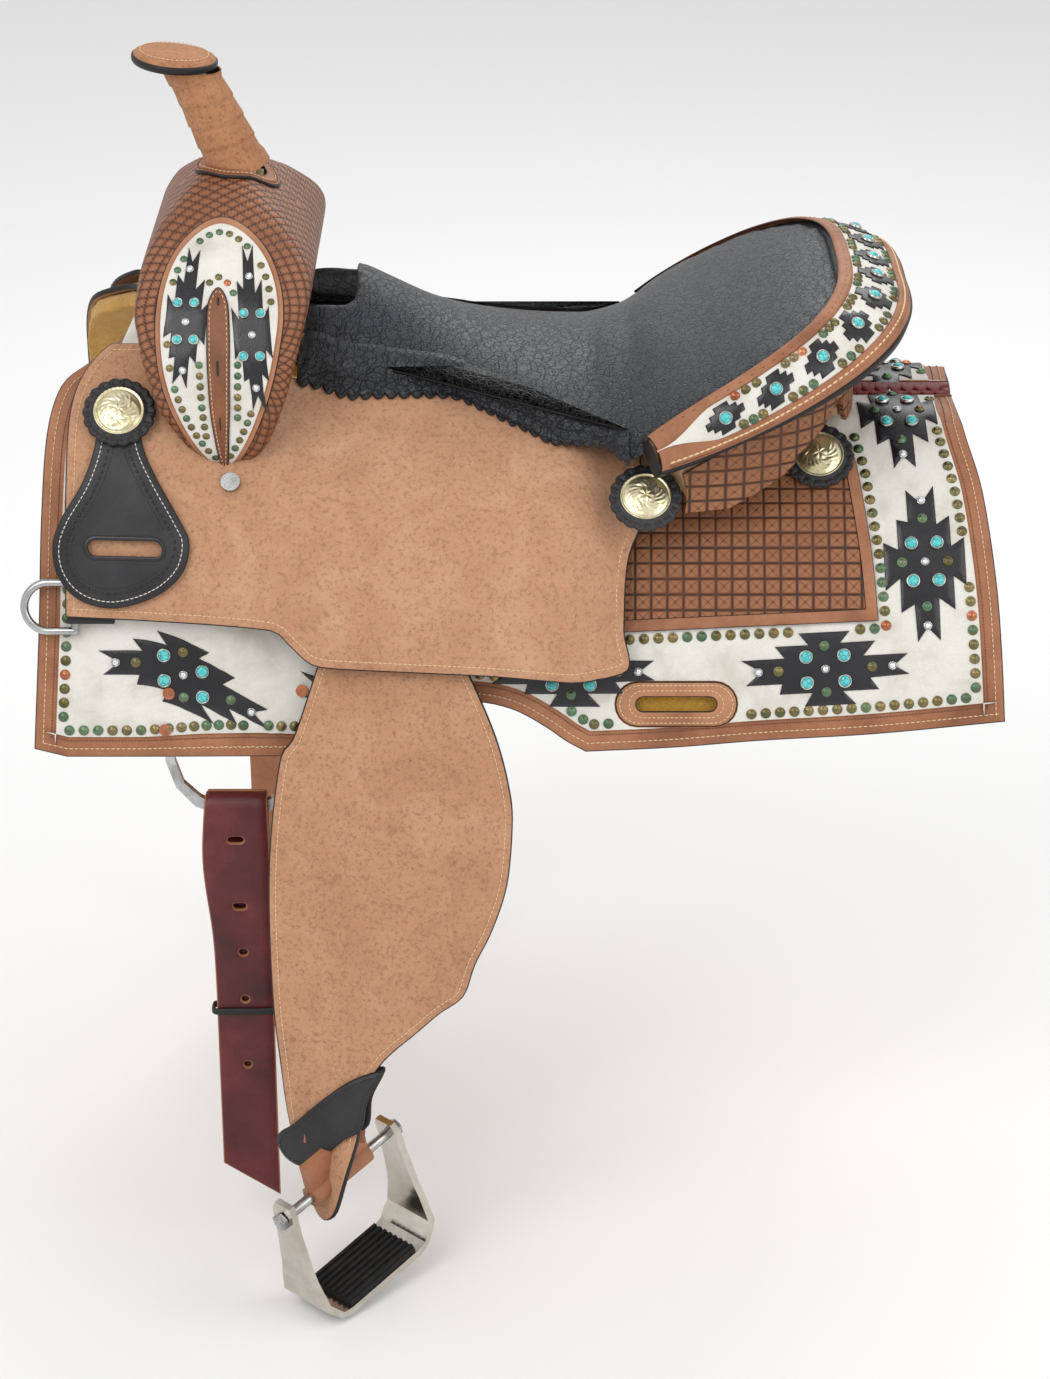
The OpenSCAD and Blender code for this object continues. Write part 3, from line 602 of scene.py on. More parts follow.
def make_waffle():
    """Stamped squares with a cross and a dot, dark in the grooves."""
    m = Mat("waffle_tooled")
    sx = m.n.new("ShaderNodeSeparateXYZ"); m.l.new(m.tc.outputs["UV"], sx.inputs[0])
    def cell(sock, size, off):
        f = m.math("FRACT", m.math("DIVIDE", m.math("ADD", sock, off), size))
        return f, m.math("MINIMUM", f, m.math("SUBTRACT", 1.0, f))
    fa, ea = cell(sx.outputs[0], 0.0120, 1.0 - (-0.071 % 0.012)); fb, eb = cell(sx.outputs[1], 0.0115, 1.002)
    e = m.math("MINIMUM", ea, eb)
    groove = m.val(e, 0, 1, 0.02, 0.13)
    d1 = m.math("ABSOLUTE", m.math("SUBTRACT", fa, fb)); d2 = m.math("ABSOLUTE", m.math("SUBTRACT", m.math("ADD", fa, fb), 1.0))
    cross = m.val(m.math("MINIMUM", d1, d2), 0, 1, 0.02, 0.07)
    r2 = m.math("ADD", m.math("POWER", m.math("SUBTRACT", fa, 0.5), 2.0), m.math("POWER", m.math("SUBTRACT", fb, 0.5), 2.0))
    dot = m.val(r2, 0, 1, 0.004, 0.014)
    h = m.math("MULTIPLY", m.math("MULTIPLY", groove, m.val(cross, 0.72, 1.0)), m.val(dot, 0.6, 1.0))
    big = m.noise(26, 5, 0.6)
    c = m.ramp(h, [(0.0, srgb(50, 27, 17)), (0.45, srgb(104, 62, 38)), (1.0, srgb(150, 98, 64))])
    c = m.mix(m.val(big, 0, 0.5, 0.4, 0.75), c, srgb(112, 66, 40))
    m.set(Base_Color=c, Roughness=m.val(m.noise(90, 6, 0.6), 0.36, 0.56), Specular_IOR_Level=0.4)
    n1 = m.bump(h, 0.8, 0.0012)
    m.bump(m.noise(600, 4, 0.6), 0.2, 0.0003, n1)
    return m.m
waffle_mat = make_waffle()

def make_seat():
    """Elephant-print leather: flat plates between fine crooked creases."""
    m = Mat("black_seat")
    co = m.co()
    w = m.n.new("ShaderNodeTexNoise"); w.inputs["Scale"].default_value = 90; w.inputs["Detail"].default_value = 3
    m.l.new(co, w.inputs["Vector"])
    ad = m.n.new("ShaderNodeMix"); ad.data_type = "VECTOR"; ad.inputs[0].default_value = 0.012
    m.l.new(co, ad.inputs[4]); m.l.new(w.outputs["Color"], ad.inputs[5])
    cells = m.voro(150, co=ad.outputs[1])
    small = m.voro(520, co=ad.outputs[1])
    crease = m.math("MINIMUM", m.val(cells, 0, 1, 0, 0.09), m.math("ADD", m.val(small, 0, 1, 0, 0.12), 0.35))
    c = m.ramp(crease, [(0.0, srgb(16, 17, 19)), (0.5, srgb(36, 38, 42)), (1.0, srgb(48, 51, 56))])
    big = m.noise(16, 5, 0.6)
    c = m.mix(m.val(big, 0, 0.5, 0.42, 0.75), c, srgb(56, 62, 70))
    m.set(Base_Color=c, Roughness=m.val(m.noise(70, 5, 0.6), 0.34, 0.55), Specular_IOR_Level=0.45, Coat_Weight=0.12, Coat_Roughness=0.4)
    n1 = m.bump(crease, 0.9, 0.0015)
    m.bump(m.noise(900, 3, 0.6), 0.2, 0.0002, n1)
    return m.m
seat_mat = make_seat()

def make_fleece():
    m = Mat("fleece")
    big = m.noise(30, 6, 0.65, dist=1.2)
    curl = m.noise(420, 6, 0.75, dist=1.8)
    c = m.ramp(curl, [(0.28, srgb(168, 112, 4)), (0.5, srgb(226, 164, 10)), (0.72, srgb(246, 200, 60))])
    c = m.mix(m.val(big, 0, 0.4, 0.4, 0.7), c, srgb(170, 118, 14))
    m.set(Base_Color=c, Roughness=0.95, Specular_IOR_Level=0.1, Sheen_Weight=0.6, Sheen_Roughness=0.5)
    n1 = m.bump(curl, 1.0, 0.0025)
    m.bump(m.noise(1500, 3, 0.7), 0.5, 0.0006, n1)
    return m.m
fleece_mat = make_fleece()

def metal(name, col, rough, dark=None, scratch=1.0, tarnish=0.0, tcol=None):
    m = Mat(name)
    big = m.noise(38, 6, 0.6)
    c = m.ramp(big, [(0.3, dark or tuple(v * 0.82 for v in col[:3]) + (1,)), (0.65, col)])
    if tarnish:
        c = m.mix(m.val(m.noise(170, 7, 0.7), 0, tarnish, 0.45, 0.65), c, tcol or srgb(60, 48, 36))
    sc = m.noise(260, 8, 0.75, co=m.co((1, 1, 9)))
    m.set(Base_Color=c, Metallic=1.0, Roughness=m.val(sc, rough * 0.7, rough * 1.5, 0.3, 0.7))
    m.bump(sc, 0.12 * scratch, 0.0002)
    return m.m
steel = metal("steel", srgb(196, 198, 198), 0.24, srgb(150, 150, 148), tarnish=0.25)
silver = metal("silver_bezel", srgb(214, 214, 208), 0.2, srgb(160, 158, 150), tarnish=0.3)
alu = metal("stirrup_metal", srgb(212, 207, 198), 0.17, srgb(186, 178, 166), scratch=1.5, tarnish=0.12, tcol=srgb(120, 110, 96))
brass = metal("antique_brass", srgb(150, 132, 92), 0.34, srgb(98, 84, 54), tarnish=0.7, tcol=srgb(62, 96, 74))
patina = metal("green_patina", srgb(112, 140, 112), 0.4, srgb(66, 96, 78), tarnish=0.6, tcol=srgb(120, 104, 70))
copper_m = metal("copper", srgb(206, 134, 100), 0.3, srgb(160, 96, 68), tarnish=0.4)

def make_concho():
    m = Mat("concho_metal")
    big = m.noise(60, 6, 0.6)
    c = m.ramp(big, [(0.3, srgb(196, 184, 144)), (0.65, srgb(232, 224, 192))])
    c = m.mix(m.val(m.noise(300, 6, 0.7), 0, 0.5, 0.5, 0.7), c, srgb(150, 134, 88))
    m.set(Base_Color=c, Metallic=0.95, Roughness=m.val(m.noise(500, 5, 0.6), 0.2, 0.42))
    m.bump(m.noise(700, 5, 0.7), 0.3, 0.0003)
    return m.m
concho_mat = make_concho()

def make_turq():
    m = Mat("turquoise")
    vein = m.voro(230, rnd=1.0)
    c = m.ramp(m.val(vein, 0, 1, 0, 0.12), [(0.0, srgb(58, 92, 84)), (0.35, srgb(70, 176, 178)), (1.0, srgb(92, 204, 202))])
    c = m.mix(m.val(m.noise(140, 5, 0.6), 0, 0.6, 0.4, 0.7), c, srgb(60, 166, 176))
    m.set(Base_Color=c, Roughness=m.val(m.noise(300, 4, 0.5), 0.18, 0.32), Specular_IOR_Level=0.5)
    m.bump(m.noise(600, 4, 0.6), 0.15, 0.0002)
    return m.m
turq = make_turq()

def make_crystal():
    m = Mat("crystal")
    n = m.noise(900, 3, 0.5)
    m.set(Base_Color=m.ramp(n, [(0.3, srgb(196, 204, 214)), (0.7, srgb(246, 248, 252))]), Roughness=m.val(n, 0.03, 0.12), Metallic=0.55)
    m.bump(n, 0.25, 0.0002)
    return m.m
crystal = make_crystal()

def make_rubber():
    m = Mat("rubber")
    n = m.noise(120, 6, 0.65)
    m.set(Base_Color=m.ramp(n, [(0.3, srgb(20, 20, 21)), (0.7, srgb(40, 39, 38))]), Roughness=m.val(n, 0.6, 0.85), Specular_IOR_Level=0.3)
    m.bump(m.noise(900, 4, 0.7), 0.4, 0.0004)
    return m.m
rubber = make_rubber()

def make_thread(name, a, b):
    m = Mat(name)
    w = m.noise(2200, 3, 0.6)
    m.set(Base_Color=m.ramp(w, [(0.3, a), (0.7, b)]), Roughness=m.val(w, 0.55, 0.8), Specular_IOR_Level=0.3)
    m.bump(w, 0.6, 0.0003)
    return m.m
thread = make_thread("thread_cream", srgb(208, 172, 128), srgb(238, 212, 172))
thread_white = make_thread("thread_white", srgb(206, 200, 188), srgb(240, 236, 228))
thread_black = make_thread("thread_black", srgb(24, 24, 26), srgb(58, 60, 64))

def make_braid():
    m = Mat("braid")
    n = m.noise(1200, 4, 0.7)
    c = m.ramp(n, [(0.3, srgb(84, 24, 30)), (0.55, srgb(120, 42, 46)), (0.8, srgb(146, 66, 64))])
    m.set(Base_Color=c, Roughness=m.val(n, 0.45, 0.7), Specular_IOR_Level=0.35)
    m.bump(n, 0.4, 0.0004)
    return m.m
braid_mat = make_braid()

def give(node, mat):
    o = frame["nodes"][node]
    if len(o.material_slots) == 0:
        o.data.materials.append(mat)
    for s in o.material_slots:
        s.material = mat

# ------------------------------------------------------------------ small fittings
SPOT_PROF = [(3.9, 0.0), (3.9, 0.6), (3.5, 1.1), (3.3, 0.9), (2.6, 1.7), (1.4, 2.3), (0, 2.5)]
def spot_geo(r=3.9, n=14):
    """a fluted brass spot: a dome with petals"""
    V, F = revolve([(p[0] * r / 3.9, p[1] * r / 3.9) for p in SPOT_PROF], n)
    for v in V:
        rad = math.hypot(v.x, v.y) * 1000
        if 1.0 < rad < r * 0.98:
            a = math.atan2(v.y, v.x)
            v.z += 0.00028 * math.cos(a * n / 2)
    return V, F
SPOT = spot_geo()
BEZEL = revolve([(5.4, 0.0), (5.4, 1.0), (5.0, 2.3), (4.5, 2.6), (4.0, 2.0), (4.0, 1.0)], 20)
STONE = revolve([(4.2, 1.2), (4.1, 2.1), (3.5, 3.0), (2.4, 3.7), (1.2, 4.0), (0, 4.1)], 18)
CRYB = revolve([(3.4, 0.0), (3.4, 0.9), (2.9, 1.6), (2.5, 1.2)], 12)
CRY = revolve([(2.6, 0.9), (2.3, 1.7), (1.5, 2.4), (0, 2.5)], 8)

def ornaments(name, to3d, spots=(), stones=(), crystals=(), h=0.0, k=1.0):
    """Spots, stones and crystals on one piece. Each entry is (u, v); stones may add a size."""
    M = Many(name, [brass, silver, turq, crystal, copper_m, patina])
    for i, p in enumerate(spots):
        T = frame_at(to3d, p[0], p[1], h, 1, 0) @ Matrix.Rotation(rng.random() * 6.28, 4, "Z") @ Matrix.Scale(k, 4)
        M.add(*SPOT, T, 4 if rng.random() < 0.04 else (5 if rng.random() < 0.3 else 0))
    for p in stones:
        q = p[2] if len(p) > 2 else 1.0
        T = frame_at(to3d, p[0], p[1], h, 1, 0) @ Matrix.Scale(q * k, 4)
        M.add(*BEZEL, T, 1); M.add(*STONE, T, 2)
    for p in crystals:
        T = frame_at(to3d, p[0], p[1], h, 1, 0) @ Matrix.Scale(k, 4)
        M.add(*CRYB, T, 1); M.add(*CRY, T, 3)
    return M.done()

ARROW = [(-.95,.36),(-.52,.36),(-.555,.64),(-.165,.64),(-.26,1),(.35,1),(.2,.63),(.63,.63),(.53,.3),(1,.25),(.82,0),(.99,-.31),(.46,-.31),(.61,-.7),(.19,-.69),(.31,-1),(-.3,-1),(-.19,-.67),(-.59,-.67),(-.48,-.34),(-1,-.33),(-.76,0)]
def arrow(cx, cy, L, W, ang=0.0, P=ARROW):
    c, s = math.cos(math.radians(ang)), math.sin(math.radians(ang))
    return [(cx + c * u * L / 2 - s * v * W / 2, cy + s * u * L / 2 + c * v * W / 2) for u, v in P]

def rosette(name, M, r=26, petals=18):
    """A scalloped black leather rosette, punched and stamped."""
    V = []; F = []; n = petals * 8
    prof = [(0.0, 0.0), (1.0, 0.0), (1.01, 0.9), (0.985, 2.4), (0.94, 3.1), (0.86, 2.7), (0.8, 2.5), (0.76, 3.0), (0.72, 3.3), (0.0, 3.3)]
    rows = []
    for k, (q, h) in enumerate(prof):
        if q == 0:
            rows.append([len(V)]); V.append(Vector((0, 0, h / 1000))); continue
        row = []
        for i in range(n):
            a = 2 * math.pi * i / n
            sc = 1 + 0.055 * (abs(math.cos(a * petals / 2)) - 0.5) * (1 if q > 0.9 else 0)
            hh = h
            if 0.78 < q < 0.96:
                hh -= 0.9 * max(0, math.cos(a * petals)) ** 3
            rr = r * q * sc
            row.append(len(V)); V.append(Vector((rr * math.cos(a) / 1000, rr * math.sin(a) / 1000, hh / 1000)))
        rows.append(row)
    for a, b in zip(rows, rows[1:]):
        for i in range(n):
            j = (i + 1) % n
            if len(a) == 1: F.append((a[0], b[j], b[i]))
            elif len(b) == 1: F.append((a[i], a[j], b[0]))
            else: F.append((a[i], a[j], b[j], b[i]))
    ob = Many(name, [black_leather, thread_white]); ob.add(V, F, M, 0)
    dots = capsule(2.2, 0.7, 0.6)
    for i in range(petals):
        a = 2 * math.pi * (i + 0.5) / petals
        T = M @ Matrix.Translation((r * 0.9 * math.cos(a) / 1000, r * 0.9 * math.sin(a) / 1000, 0.0030)) @ Matrix.Rotation(a, 4, "Z")
        ob.add(*revolve([(1.1, 0), (0.9, 0.5), (0, 0.7)], 8), T, 0)
    return ob.done()

def concho(name, M, r=18.5):
    """A domed, engraved concho with a rope edge."""
    nr, na = 26, 72
    V = []; F = []; rows = []
    for k in range(nr + 1):
        q = k / nr
        row = []
        for i in range(na if k else 1):
            a = 2 * math.pi * i / na
            h = 5.2 * math.cos(q * 1.25) - 1.2
            e = 0.0
            if q < 0.34:
                e = 0.55 * abs(math.cos(a * 3)) * math.sin(q / 0.34 * math.pi)          # flower
            elif q < 0.82:
                t = (q - 0.34) / 0.48
                e = 0.5 * math.sin(t * math.pi) * max(0, math.sin(a * 5 + 5.0 * math.sin(t * 3.1))) \
                    + 0.22 * math.sin(a * 17 + t * 13) * math.sin(t * math.pi)
            if q > 0.93:
                h += 0.9; e = 0.45 * math.sin(a * 36 + q * 30)
            elif q > 0.88:
                h -= 0.5
            row.append(len(V)); V.append(Vector((r * q * math.cos(a) / 1000, r * q * math.sin(a) / 1000, (h + e) / 1000)))
        rows.append(row)
    row = []
    for i in range(na):
        a = 2 * math.pi * i / na
        row.append(len(V)); V.append(Vector((r * math.cos(a) / 1000, r * math.sin(a) / 1000, -0.0003)))
    rows.append(row)
    for a, b in zip(rows, rows[1:]):
        n = len(b)
        for i in range(n):
            j = (i + 1) % n
            if len(a) == 1: F.append((a[0], b[i], b[j]))
            else: F.append((a[i], b[i], b[j], a[j]))
    F.append(tuple(rows[-1][::-1]))
    ob = Many(name, [concho_mat]); ob.add(V, F, M, 0)
    return ob.done()

SIDES = {"near": -1, "far": 1}
ROOT = "saddle"
def s_of(surf, x, z, ytop=None):
    P, s, N = surf.prof(x)
    if z > P[:, 1].max() - 0.5:
        if ytop is None:
            return 1.5
        return float(np.interp(ytop, P[:, 0], s))
    return surf.at_z(x, z)

SKIRT_O = [(-272,132),(-302,112),(-324,102),(-342,90),(-351,63),(-355,5),(-358,-68),(-364,-160),(-340,-166),(-180,-166),(-140,-164),(-118,-150),(-92,-136),(-60,-128),(-33,-127),(-7,-133),(17,-146),(30,-155),(45,-163),(110,-160),(174,-155),(260,-150),(356,-141),(353,-90),(349,-43),(341,10),(331,40),(322,70),(-96,72),(-126,132)]
PANEL_O = [(62,-78),(260,-70),(256,-30),(247,20),(242,34),(62,34)]
JOCKEY_O = [(-284,122),(-305,114),(-324,99),(-333,77),(-335,33),(-336,-57),(-271,-60),(-185,-64),(-172,-74),(-160,-85),(-150,-89),(-121,-91),(-33,-95),(72,-100),(73,-70),(74,-41),(77,-22),(84,-8),(86,30),(82,60),(39,64),(0,68),(-40,70),(-90,72),(-130,72),(-150,122)]
KEEPER_O = [(-312,82),(-280,82),(-279,58),(-268,36),(-250,8),(-244,-6),(-250,-26),(-270,-42),(-300,-50),(-325,-44),(-340,-28),(-344,-8),(-338,10),(-322,34),(-313,58)]

def on(surf, side):
    return lambda u, v, h: surf.point(u, v, h, side)

def slot_ring(cx, cy, L, W, n=10):
    out = []
    for i in range(n + 1):
        a = -math.pi / 2 + math.pi * i / n
        out.append((cx + L / 2 - W / 2 + W / 2 * math.cos(a), cy + W / 2 * math.sin(a)))
    for i in range(n + 1):
        a = math.pi / 2 + math.pi * i / n
        out.append((cx - L / 2 + W / 2 + W / 2 * math.cos(a), cy + W / 2 * math.sin(a)))
    return out

skirt_line = [(p[0], s_of(SKS, p[0], p[1], 92 if p[0] < -100 else None)) for p in spline(SKIRT_O, 5.0, True, corners=(0, 7, 8, 9, 18, 22, 27, 28, 29))]
panel_xs = [(x, s_of(SKS, x, z)) for x, z in PANEL_O]
slot_s = SKS.at_z(112, -128)
jockey_line = [(p[0], JKS.at_z(p[0], p[1])) if p[1] < JKS.prof(p[0])[0][:, 1].max() - 0.5 else (p[0], 0.5) for p in spline(JOCKEY_O, 5.0, True, corners=(0, 5, 17, 22, 24))]

def near_line(P, x, y):
    P = np.asarray(P); Q = np.roll(P, -1, axis=0); d = Q - P
    t = np.clip(((x - P[:, 0]) * d[:, 0] + (y - P[:, 1]) * d[:, 1]) / np.maximum((d ** 2).sum(1), 1e-9), 0, 1)
    C = P + d * t[:, None]
    return float(np.hypot(C[:, 0] - x, C[:, 1] - y).min())

MOTIFS = [(-252, 318, 124, 52, 0), (-104, 318 - 40, 124, 52, 0), (34, 262, 124, 52, 0), (222, 260, 124, 54, -3), (296, 181, 118, 60, 88), (281, 52, 110, 58, 88)]

# ------------------------------------------------------------------ skirts, overlays, fleece, jockeys
def wool(ob, size=0.010, strength=0.0045, seed=0):
    t = bpy.data.textures.new(ob.name + "_wool", "CLOUDS"); t.noise_scale = size; t.noise_depth = 3
    m = ob.modifiers.new("wool", "DISPLACE"); m.texture = t; m.strength = strength; m.mid_level = 0.5; m.texture_coords = "LOCAL"

for nm, sd in SIDES.items():
    S3 = on(SKS, sd); J3 = on(JKS, sd)
    slot = slot_ring(112, slot_s, 62, 12)
    sk = plate("skirt_" + nm, skirt_line, S3, 4.6, [tan, black_edge, flesh], grid=7.0, holes=[slot], h0=-4.8)
    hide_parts("skirt_" + nm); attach(sk, ROOT)
    # woolly lining
    fl = plate("fleece_" + nm, inset(skirt_line, 2.5), S3, 12.5, [fleece_mat, fleece_mat, fleece_mat], grid=6.0, h0=-18.2, r=3.0)
    wool(fl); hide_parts("fleece_" + nm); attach(fl, ROOT)
    # white band
    out = inset(skirt_line, 15.5)
    hole = slot_ring(112, slot_s, 91, 34)
    ov = plate("overlay_" + nm, out, S3, 1.7, [white_leather, tan_light, white_leather], grid=7.0, holes=[hole], h0=0.0, r=0.5, under=False)
    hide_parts("overlay_" + nm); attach(ov, ROOT)
    li = plate("slot_lining_" + nm, slot_ring(112, slot_s, 90, 33), S3, 2.2, [tan_light, black_edge, tan], grid=4.0, holes=[slot_ring(112, slot_s, 60, 11)], h0=0.0, r=0.6, under=False)
    li2 = stitches("t", slot_ring(112, slot_s, 70, 20), S3, 2.3, thread, step=3.4, L=2.7)
    li3 = stitches("t", slot_ring(112, slot_s, 84, 28), S3, 2.3, thread, step=3.4, L=2.7)
    li = join("slot_lining_" + nm, [li, li2, li3])
    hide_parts("slot_lining_" + nm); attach(li, ROOT)
    bound = stitches("skirt_stitching_" + nm, inset(skirt_line, 6.5), S3, 0.05, thread, step=3.9, L=3.2, w=0.85, keep=lambda u, v: near_line(skirt_line, u, v) > 5.7)
    tool = stitches("t", inset(skirt_line, 12.5), S3, -0.2, brown_tooled, step=2.4, L=2.2, w=0.9, keep=lambda u, v: near_line(skirt_line, u, v) > 11.6)
    bound = join("skirt_stitching_" + nm, [bound, tool])
    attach(bound, ROOT)
    # waffle panel: stamped squares inside a border of half moons
    pan_o = inset(panel_xs, 9.0)
    px0, px1 = min(p[0] for p in pan_o), max(p[0] for p in pan_o)
    def waffle(u, v):
        d = min(near_line(panel_xs, u, v), 60)
        if d < 9.0:
            return 0.0
        if d < 16.0:
            return 0.5 * abs(math.sin(math.pi * (u + v) / 7.0)) * math.sin(math.pi * (d - 9.0) / 7.0)
        a = (u - px0) / 12.0 % 1.0; b = (v + 2.0) / 11.5 % 1.0
        e = min(a, 1 - a, b, 1 - b)
        k = min(1.0, e / 0.13)
        dimple = 0.45 * math.exp(-((a - .5) ** 2 + (b - .5) ** 2) / 0.006)
        cross = 0.22 if min(abs(a - b), abs(a + b - 1)) < 0.05 and e > 0.12 else 0.0
        return 0.95 * k - cross - dimple
    pn = plate("panel_" + nm, spline(panel_xs, 5.0, True, corners=(0, 1, 4, 5)), S3, 2.6, [waffle_mat, tan, tan], grid=2.4, h0=1.6, r=0.8, lift=waffle, under=False)
    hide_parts("panel_" + nm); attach(pn, ROOT)
    strip_in = inset(panel_xs, 8.0)
    st = plate("panel_strip_" + nm, spline(inset(panel_xs, -1.0), 5.0, True, corners=(0, 1, 4, 5)), S3, 1.0, [tan, black_edge, tan], grid=3.0, h0=4.0, r=0.5,
               holes=[spline(strip_in, 5.0, True, corners=(0, 1, 4, 5))], under=False)
    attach(st, ROOT)
    # jockey: rough-out suede
    jl = jockey_line
    jk = plate("jockey_" + nm, jl, J3, 3.9, [suede, black_edge, flesh], grid=7.0, h0=0.2, r=1.0)
    js = stitches("t", inset(jl, 6.5), J3, 4.1, thread, step=3.6, L=3.0, keep=lambda u, v: v > 30 or u < -250)
    jk = join("jockey_" + nm, [jk, js])
    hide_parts("jockey_" + nm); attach(jk, ROOT)
    # stamped arrows in black, with stones
    M = []; stones = []; crys = []; spots = []
    for cx, cy, L, W, ang in MOTIFS:
        A = arrow(cx, cy, L, W, ang)
        M.append(plate("t", resample(A, 4.0), S3, 1.1, [black_gloss, black_edge, black_edge], grid=5.0, h0=1.6, r=0.5, under=False))
        c, s = math.cos(math.radians(ang)), math.sin(math.radians(ang))
        T = lambda u, v: (cx + c * u - s * v, cy + s * u + c * v)
        stones += [T(a * 14, b * 9.5) for a in (-1, 1) for b in (-1, 1)]
        crys += [T(0, 0), T(-L * .4, 0), T(L * .4, 0)]
        spots += [T(0, 17), T(0, -17), T(-L * .28, 0), T(L * .28, 0)]
    mo = join("arrows_" + nm, M)
    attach(mo, ROOT)
    rowo = inset(skirt_line, 21.0)
    rows = []
    for p, d in walk(rowo, 10.6):
        if near_line(panel_xs, p[0], p[1]) < 6 or inside(panel_xs, p[0], p[1]) or near_line(hole, p[0], p[1]) < 4 or inside(hole, p[0], p[1]) or p[1] < 30 or near_line(skirt_line, p[0], p[1]) < 19.6:
            continue
        rows.append((p[0], p[1]))
    for p, d in walk(inset(panel_xs, -6.5), 10.6):
        if p[0] > 60 and p[1] > 62 and p[1] < 245 and not inside(hole, p[0], p[1]):
            rows.append((p[0], p[1]))
    rows = [p for i, p in enumerate(rows) if all((p[0] - q[0]) ** 2 + (p[1] - q[1]) ** 2 > 62 for q in rows[:i])]
    rows = [p for p in rows if not any(near_line(arrow(cx, cy, L * .98, W * .98, a), p[0], p[1]) < 2.5 or inside(arrow(cx, cy, L, W, a), p[0], p[1]) for cx, cy, L, W, a in MOTIFS)]
    orn = join("studs_" + nm, [ornaments("t", S3, spots=rows, h=1.6), ornaments("t", S3, spots=spots, stones=stones, crystals=crys, h=2.6)])
    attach(orn, ROOT)

# ------------------------------------------------------------------ swell
def copy_mesh(node, name):
    ob = bpy.data.objects.new(name, frame["nodes"][node].data.copy())
    ob.matrix_world = frame["nodes"][node].matrix_world.copy()
    bpy.context.scene.collection.objects.link(ob)
    return ob

def bake(ob):
    dg = bpy.context.evaluated_depsgraph_get()
    me = bpy.data.meshes.new_from_object(ob.evaluated_get(dg))
    old = ob.data; ob.modifiers.clear(); ob.data = me
    bpy.data.meshes.remove(old)
    for p in me.polygons: p.use_smooth = True
    return ob

def soften(node, name, voxel, its, mat, fac=0.6):
    ob = copy_mesh(node, name)
    m = ob.modifiers.new("r", "REMESH"); m.mode = "VOXEL"; m.voxel_size = voxel
    m = ob.modifiers.new("s", "SMOOTH"); m.iterations = its; m.factor = fac
    bake(ob)
    ob.data.materials.clear(); ob.data.materials.append(mat)
    return ob

def tree_of(ob):
    me = ob.data; W = ob.matrix_world
    return BVHTree.FromPolygons([W @ v.co for v in me.vertices], [tuple(p.vertices) for p in me.polygons])

swell = soften("swell_cover", "swell_leather", 0.0035, 26, swell_mat)
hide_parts("swell_cover"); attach(swell, ROOT)
swell_tree = tree_of(swell)
def swell_uv(ob):
    me = ob.data
    lay = me.uv_layers.new(name="UVMap")
    co = np.zeros(len(me.vertices) * 3); me.vertices.foreach_get("co", co); co = co.reshape(-1, 3)
    idx = np.zeros(len(me.loops), dtype=np.int32); me.loops.foreach_get("vertex_index", idx)
    dx, dz = co[:, 0] + 0.215, co[:, 2] - 0.125
    uv = np.stack([np.arctan2(dx, dz) * 0.088, np.abs(co[:, 1]) - np.hypot(dx, dz)], axis=1)
    lay.data.foreach_set("uv", uv[idx].astype(np.float32).ravel())
swell_uv(swell)

class Shell:
    """Heights of a rounded body above its centre plane, as a smooth field over (x, z)."""
    def __init__(self, tree, x0, x1, z0, z1, step=3.0, blur=2):
        self.x0, self.z0, self.st = x0, z0, step
        nx = int((x1 - x0) / step) + 1; nz = int((z1 - z0) / step) + 1
        H = np.full((nx, nz), np.nan)
        for i in range(nx):
            for j in range(nz):
                p = tree.ray_cast(Vector(((x0 + i * step) / 1000, 0.32, (z0 + j * step) / 1000)), Vector((0, -1, 0)), 0.32)
                if p[0] is not None: H[i, j] = p[0].y * 1000
        for _ in range(14):
            bad = np.isnan(H)
            if not bad.any(): break
            P = np.pad(H, 1, constant_values=np.nan)
            st = np.stack([P[:-2, 1:-1], P[2:, 1:-1], P[1:-1, :-2], P[1:-1, 2:]])
            with np.errstate(all="ignore"):
                import warnings
                with warnings.catch_warnings():
                    warnings.simplefilter("ignore")
                    mn = np.nanmean(st, axis=0)
            H[bad] = mn[bad] - 2.0
        H = np.nan_to_num(H, nan=0.0)
        for _ in range(blur):
            P = np.pad(H, 1, mode="edge")
            H = (P[:-2, 1:-1] + P[2:, 1:-1] + P[1:-1, :-2] + P[1:-1, 2:] + 2 * H) / 6
        self.H = H
    def y(self, x, z):
        a = (x - self.x0) / self.st; b = (z - self.z0) / self.st
        a = min(max(a, 0), self.H.shape[0] - 1.001); b = min(max(b, 0), self.H.shape[1] - 1.001)
        i, j = int(a), int(b); a -= i; b -= j; H = self.H
        return (H[i, j] * (1 - a) + H[i + 1, j] * a) * (1 - b) + (H[i, j + 1] * (1 - a) + H[i + 1, j + 1] * a) * b
    def pt(self, side):
        def f(x, z, h):
            e = 2.5
            gx = (self.y(x + e, z) - self.y(x - e, z)) / (2 * e); gz = (self.y(x, z + e) - self.y(x, z - e)) / (2 * e)
            n = Vector((-gx, 1, -gz)).normalized()
            return Vector(((x + h * n.x) / 1000, side * (self.y(x, z) + h * n.y) / 1000, (z + h * n.z) / 1000))
        return f

